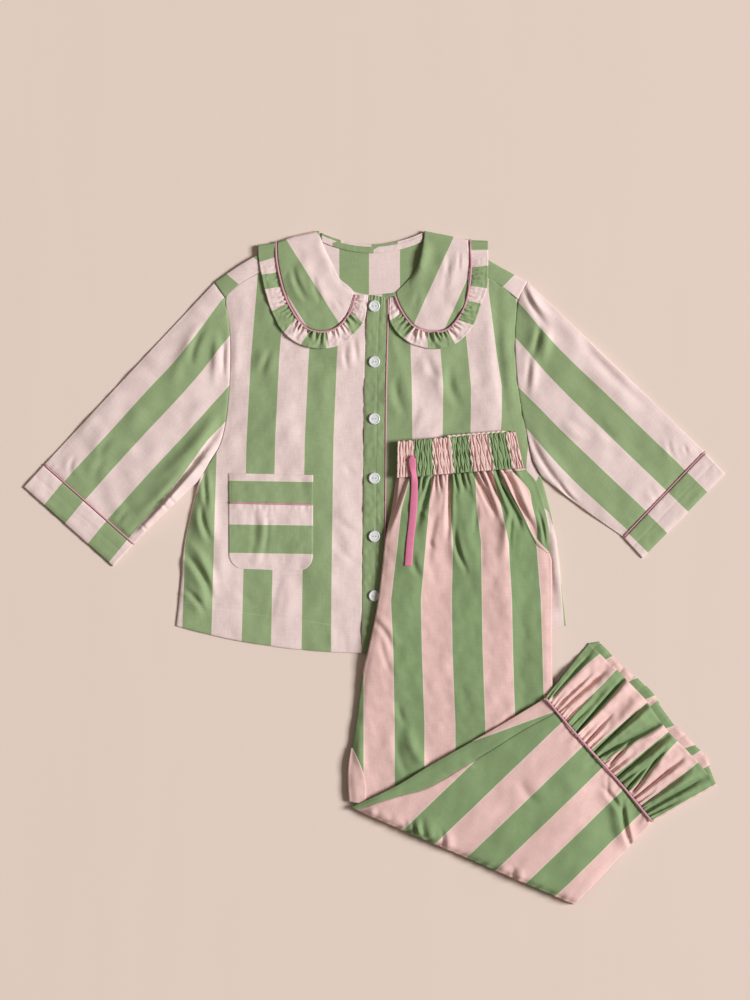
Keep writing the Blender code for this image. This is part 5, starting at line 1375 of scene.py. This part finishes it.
def slant_pocket():
    """The pocket's facing beside the leg, and the raised edge of its opening."""
    opening = Curve(POCKET_OPENING)
    side = Curve(((242, 156), (258.8, 135.5), (269.2, 102), (276.6, 68.5), (280.2, 24)))
    plan, down, wide = between(opening, side, 70, 26)
    x, y = plan[..., 0], plan[..., 1]
    middle = np.sin(np.pi * np.clip(down, 0.0, 1.0)) ** 0.5
    z = leg_height(x, y) + 0.9 - 1.7 * bell(wide, 0.2) * middle
    z += creases(x, y, FACING_CREASES)
    z = np.maximum(z, leg_height(x, y) + 0.5)
    stripe_line = Curve(FACING_STRIPE)(steps(70))
    split = np.interp(y, stripe_line[::-1, 1], stripe_line[::-1, 0])
    stripe = 1.0 + np.clip((x - split) / STRIPE, -0.6, 0.9)
    pink_end = (y < 60) & (x < 259)
    stripe = np.where(pink_end, 0.9, np.where(y < 46, 1.4, stripe))
    grid = skirt(grid_of(plan, z, stripe, down * 3), "right", 3.0, 0.8)
    item = cloth("pocket_facing", "trouser_cotton", grid)
    edge = opening(steps(80)[1:-1])
    way = np.gradient(edge, axis=0)
    way /= np.linalg.norm(way, axis=1)[:, None]
    normal = np.column_stack([-way[:, 1], way[:, 0]])
    height = leg_height(edge[:, 0], edge[:, 1])
    rows = []
    for offset, rise in ((-6.0, -0.5), (-4.0, 0.7), (-2.0, 1.5), (-0.3, 1.6), (0.8, 0.9), (0.9, -0.6)):
        rows.append(np.column_stack([edge + normal * offset, height + rise]))
    rows = np.array(rows)
    stripe = leg_stripe(rows[..., 0], rows[..., 1])
    grid = np.concatenate([rows, stripe[..., None], rows[..., 1:2] / STRIPE], axis=2)
    item = cloth("pocket_edge", "trouser_cotton", grid)


def corner_panel():
    """The other leg panel, which shows at the lower left corner."""
    seam = Curve(((-35.0, -288), (-21, -318), (-14, -345), (-13, -378)))
    outer = Curve(((-36.5, -288), (-41, -318), (-41.5, -345), (-39.5, -374)))
    plan, _, wide = between(outer, seam, 40, 12)
    x, y = plan[..., 0], plan[..., 1]
    z = leg_height(x, y) + 0.9
    grid = grid_of(plan, z, 0.5 + 0.48 * wide)
    grid = skirts(grid, ("left", 3.0, 0.8), ("right", 0.9, 0.2))
    item = cloth("corner_cloth", "trouser_cotton", grid)


def waistband():
    """The shirred waistband: puckers that lean together and apart between the rows of elastic."""
    top, seam = Curve(WAIST), Curve(WAIST_SEAM)
    us, vs = steps(480), steps(42)
    form = Form("waistband", 9.0)
    a, b = seam(us), top(us)
    v = vs[:, None]
    plan = a[None] * (1 - vs)[:, None, None] + b[None] * vs[:, None, None]
    x, y = plan[..., 0], plan[..., 1]
    rng = np.random.default_rng(151)
    troughs, row = 44, 0.333
    z = np.zeros(x.shape)
    marks = np.cumsum(rng.uniform(0.6, 1.4, troughs + 1))
    marks = marks / marks[-1] - 0.004
    for k, mark in enumerate(marks):
        lean = (1 if k % 2 else -1) * rng.uniform(0.10, 0.36)
        drift = rng.uniform(-0.3, 0.3)
        zigzag = lean * np.cos(2 * np.pi * v / (2 * row) + rng.uniform(-0.5, 0.5))
        place = mark + (zigzag + drift * v) / troughs
        deep = rng.uniform(1.2, 3.2)
        deep = deep * (0.75 - 0.25 * np.cos(2 * np.pi * (v / row + rng.uniform(-0.2, 0.2))))
        narrow = rng.uniform(0.15, 0.25) / troughs
        off = (us[None] - place) / narrow
        z -= deep * bell(off)
    for k in range(96):
        middle = row * (k % 3 + rng.uniform(0.3, 0.7))
        off = (us[None] - rng.uniform(0, 1) - rng.uniform(-0.02, 0.02) * (v - middle)) * troughs / 0.16
        near = np.clip(1 - (np.abs(v - middle) / 0.15) ** 2, 0, 1)
        z -= rng.uniform(0.8, 2.4) * bell(off) * near
    for pinch in (0.02, 0.34, 0.67):
        z -= 0.9 * bell(v - pinch - 0.008 * np.sin(us * 40)[None], 0.018)
    z -= 1.0 * np.clip((v - 0.93) / 0.07, 0, 1) ** 2
    z = form(x, y) + 1.2 + z + 0.5 * np.sin(2 * np.pi * us * 6.3 + 3 * v)
    scallop = 0.9 * np.sin(2 * np.pi * us * 23 + 1.2 * np.sin(us * 31))
    plan = plan + np.stack([0 * x, scallop[None] * np.clip((v - 0.8) * 5, 0, 1)], axis=-1)
    stripe = np.interp(us, WAIST_STRIPES, np.arange(len(WAIST_STRIPES)))[None]
    stripe = stripe + 0.05 * np.sin(v * 26 + us * 60)
    grid = grid_of(plan, z, np.broadcast_to(stripe, x.shape))
    grid = skirts(grid, ("last", 7.0, 1.0), ("left", 5.0), ("right", 5.0), ("first", 1.5, 0.3))
    item = cloth("waist_cloth", "trouser_cotton", grid, ["waistband"])
    behind = top(0.42 + 0.5 * steps(90)) + (0, 2.6)
    bump = 0.8 * np.sin(steps(90) * 75)
    base = form(behind[:, 0], behind[:, 1] - 8) - 1.6
    rows = []
    for offset, rise in ((-3.0, -0.6), (0.0, 0.0), (0.9, -1.0), (0.6, -4.0)):
        plan = behind + np.column_stack([0 * bump, bump * 0.5 + offset])
        rows.append(np.column_stack([plan, base + rise + 0.5 * bump]))
    rows = np.array(rows)
    tint = np.full(rows.shape[:2], 0.01)
    grid = np.concatenate([rows, tint[..., None], rows[..., :1] / STRIPE], axis=2)
    item = cloth("waist_back_edge", "trouser_cotton", grid)


def drawstring():
    """One free end of flat tape, from its eyelet down over the leg."""
    line = Curve(TAPE)
    s = steps(110)
    here = line(s)
    way = np.gradient(here, axis=0)
    way /= np.linalg.norm(way, axis=1)[:, None]
    side = np.column_stack([way[:, 1], -way[:, 0]])
    form = Form("drawstring", 5.0)
    z = form(here[:, 0], here[:, 1]) + 1.3
    narrow = 1 - 0.32 * bell(s - 0.17, 0.05) - 0.1 * bell(s - 0.3, 0.06)
    narrow *= np.clip(s / 0.03, 0.55, 1.0)
    rows = []
    for t in np.linspace(-1, 1, 9):
        curl = 0.55 * t * t
        fold = 2.0 * t * bell(s - 0.17, 0.05)
        p = here + side * (t * TAPE_WIDTH / 2 * narrow)[:, None]
        rows.append(np.column_stack([p, z - curl + fold]))
    rows = np.array(rows)
    grid = np.concatenate([rows, np.zeros(rows.shape[:2] + (2,))], axis=2)
    item = cloth("drawstring_end", "drawstring_tape", grid, ["drawstring"], thick=TAPE_THICK)


def lower_stripe(x, y):
    return square_stripes(x, y, LOWER_SQUARE, LOWER_BOUNDARIES)


def band_stripe(x, y):
    return 2 + (-0.342 * x + 0.940 * y + 313.4) / STRIPE


def trousers_fold():
    """The lower leg, folded up over the crease: two panels that meet at the leg's seam."""
    low_edge = Curve(FOLDED_LOW)
    item = stack("folded_layers", "lower_leg_layers", (Curve(FOLDED_TOP), low_edge), 3,
                 0.1 + 0.885 * steps(36), lower_stripe)
    form = Form("lower_leg", 6.0)
    end = Curve(LEG_END)
    start_split, split = 0.025, 0.11
    crease = Curve(CREASE)
    seam = Curve((crease(start_split),) + LEG_SEAM + (end(split),))
    jobs = (("lower_leg_cloth", seam, low_edge, (start_split, 1.0), (split, 1.0), lower_stripe, 96, 150),
            ("lower_leg_band", Curve(FOLDED_TOP), seam, (0.0, start_split), (0.0, split), band_stripe,
             24, 110))
    for name, upper, lower, start_part, end_part, stripe, across, count in jobs:
        us, vs = steps(across), steps(count)
        a = crease(start_part[0] + (start_part[1] - start_part[0]) * us)
        b = end(end_part[0] + (end_part[1] - end_part[0]) * us)
        plan = coons(lambda _: a, lambda _: b, upper, lower, us, vs)
        x, y = plan[..., 0], plan[..., 1]
        runs = edge_runs(plan)
        z = form(x, y) + creases(x, y, LOWER_CREASES, 0.7)
        z = z + crumple(x, y, 161, 44, 0.3) + crumple(x, y, 162, 110, 0.5)
        if stripe is lower_stripe:
            along = np.broadcast_to(us[None], x.shape)
            puckers = gathers(along, runs[3] / 40.0, 22, 163, 1.6, 0.2, 0.7)
            z += puckers * (1 - bell(runs[3], 7.0))
            z -= 1.8 * bell(runs[3], 4.0) + 0.5 * bell(runs[0], 2.5)
            z -= 2.2 * bell(runs[1], 6.0)
            z += gathers(along, runs[2] / 34.0, 20, 164, 2.6, 0.2, 0.8)
            z -= 3.2 * bell(runs[2], 6.0)
        else:
            z -= 1.2 * bell(runs[0], 4.0) + 0.5 * bell(runs[1], 2.5)
        grid = grid_of(plan, z, stripe(x, y), (x + y) / STRIPE)
        if stripe is lower_stripe:
            grid = skirts(grid, ("right", 7.0, 1.2), ("first", 30.0, 2.5))
        else:
            grid = skirt(grid, "left", 5.5, 0.8)
        nodes, cut = (["lower_leg"], (300, 400, 0.66)) if stripe is lower_stripe else ([], (60, 320, 0.5))
        cloth(name, "trouser_cotton", grid, nodes)


def leg_ruffle():
    """The deep ruffle at the leg's end: a gathered front layer over a back one, and the piping."""
    seam, edge = Curve(LEG_END), Curve(RUFFLE_END)
    form, lower = Form("leg_ruffle", 9.0), Form("lower_leg", 6.0)
    rng = np.random.default_rng(171)
    back_pleats = [Pleat(k / 15 + rng.uniform(0.01, 0.05), k / 15 + rng.uniform(0.01, 0.05),
                         rng.uniform(1.2, 2.6), 1.6, 0.0, 1.1) for k in range(15)]
    for name, marks_in, marks_out, extra, seed, pleats, columns, nodes in (
            ("ruffle_front", LEG_RUFFLE_SEAM, LEG_RUFFLE_EDGE, 0.0, 172, PLEATS, 560, ["leg_ruffle"]),
            ("ruffle_back", LEG_RUFFLE_SEAM, LEG_RUFFLE_BACK, 15.0, 173, back_pleats, 340, [])):
        us, vs = steps(columns), steps(36 if nodes else 20)
        a, b = seam(us), edge(us)
        way = (b - a) / np.linalg.norm(b - a, axis=1)[:, None]
        side = np.column_stack([way[:, 1], -way[:, 0]])
        folds = np.sort([p.edge for p in pleats if p.end > 0.85])
        jumps = rng.uniform(-3.4, 3.4, len(folds) + 1)
        step_out = np.full(len(us), jumps[0])
        for at, jump_from, jump_to in zip(folds, jumps, jumps[1:]):
            step_out += (jump_to - jump_from) * np.clip((us - at) / 0.004, 0, 1)
        ends = np.clip(np.minimum(us * 20, (1 - us) * 6), 0, 1)
        far = b + way * ((extra + step_out) * ends)[:, None]
        far = far + side * (1.6 * np.sin(us * 55 + seed) * ends)[:, None]
        start = a + way * 1.2
        plan = start[None] * (1 - vs)[:, None, None] + far[None] * vs[:, None, None]
        x, y = plan[..., 0], plan[..., 1]
        along = np.broadcast_to(us[None], x.shape)
        out = np.broadcast_to(vs[:, None], x.shape)
        waves = np.zeros(x.shape)
        for p in pleats:
            centre = p.seam + (p.edge - p.seam) * out
            wide = 1.25 * p.width * (0.75 + 1.1 * out)
            off = (along - centre) * RUFFLE_RUN / wide
            fade = np.clip((out - p.start) / 0.08 + 1, 0, 1)
            fade = fade * np.clip((p.end - out) / 0.3, 0, 1) ** 0.8
            swell = bell(off - 2.6, 2.2) + 0.5 * bell(off + 2.8, 2.0)
            waves += 2.1 * p.depth * fade * (0.6 * swell * (0.4 + out) - bell(off))
        waves += gathers(along, out, 34, seed, 2.0, 0.22, 0.35, 0.6)
        broad = 1.5 * out * np.sin(2 * np.pi * (along * 7.5 + 0.35 * np.sin(along * 17 + seed)))
        broad += crumple(x, y, seed + 3, 22, 0.25)
        top = form(x, y)
        near_seam = lower(a[:, 0] - way[:, 0] * 6, a[:, 1] - way[:, 1] * 6) - 1.0
        if nodes:
            from_seam = bell(out, 0.06)
            high = top * (1 - from_seam) + near_seam[None] * from_seam
            sink = 7.0 * bell(along * RUFFLE_RUN, 15.0) * np.clip(1.5 * out, 0, 1)
            z = np.maximum(high + waves + broad - sink, 2.6)
        else:
            limit = 1.8 + 4.0 * np.clip((out - 0.91) / 0.05, 0, 1)
            z = np.clip(0.35 * top + 0.4 * waves + 0.5 * broad, 0.9, limit)
        z -= 0.6 * bell(out - 0.93, 0.018)
        marks = np.arange(1, len(marks_in) + 1)
        at_seam, at_edge = np.interp(us, marks_in, marks)[None], np.interp(us, marks_out, marks)[None]
        stripe = at_seam * (1 - out) + at_edge * out
        grid = grid_of(plan, z, stripe, out * 2.4)
        grid = skirts(grid, ("left", 5.0, 0.8), ("right", 6.0, 0.8))
        item = cloth(name, "trouser_cotton", grid, nodes)
    line = seam(0.004 + 0.992 * steps(120))
    out = seam(np.clip(steps(120), 0.01, 0.99))
    z = even(lower(out[:, 0] - 6, out[:, 1] - 4) + 3.2, 10)
    cord_curve("leg_cord", "piping", np.column_stack([line, z]), 1.9, ["leg_piping"])


# ---------------------------------------------------------------- the room
def room():
    """A pale floor, soft light from the right and a camera that looks straight down."""
    mesh = bpy.data.meshes.new("floor")
    half, low = 60.0, -0.0004
    corners = [(half * x, half * y, low) for x, y in ((-1, -1), (1, -1), (1, 1), (-1, 1))]
    mesh.from_pydata(corners, [], [(0, 1, 2, 3)])
    mesh.materials.append(floor_paint())
    floor = linked("floor", mesh)

    lights = (("key", (36.5, 1.0, 27.5), 16.0, 30300.0, (0.938, 0.957, 1.0)),
              ("fill", (-2.6, 1.8, 3.4), 2.4, 6.0, (1.0, 0.97, 0.94)))
    for name, place, size, power, tint in lights:
        light = bpy.data.lights.new(name, "AREA")
        light.size = size
        light.energy = power
        light.color = tint
        item = linked(name, light)
        item.location = place
        item.rotation_euler = (Vector((0, 0, 0)) - Vector(place)).to_track_quat("-Z", "Y").to_euler()

    world = bpy.data.worlds.new("room")
    world.use_nodes = True
    background = world.node_tree.nodes["Background"]
    background.inputs["Color"].default_value = (1.0, 0.86, 0.74, 1.0)
    background.inputs["Strength"].default_value = 0.185
    bpy.context.scene.world = world
    bpy.context.scene.view_settings.view_transform = "Standard"
    bpy.context.scene.view_settings.look = "None"

    camera = bpy.data.cameras.new("camera")
    camera.sensor_width = 36.0
    height, seen = 6.0, 1.6
    camera.lens = camera.sensor_width * height / seen
    camera.clip_end = 200.0
    item = linked("camera", camera)
    item.location = (0.0012, 0.10816, height)
    bpy.context.scene.camera = item


def build():
    """All pieces, from the floor up."""
    room()
    make_materials()
    drawstring()
    shirt_back()
    neck()
    fronts()
    sleeves()
    placket()
    pocket()
    buttons()
    collar()
    trousers_top()
    waistband()
    trousers_fold()
    leg_ruffle()


build()
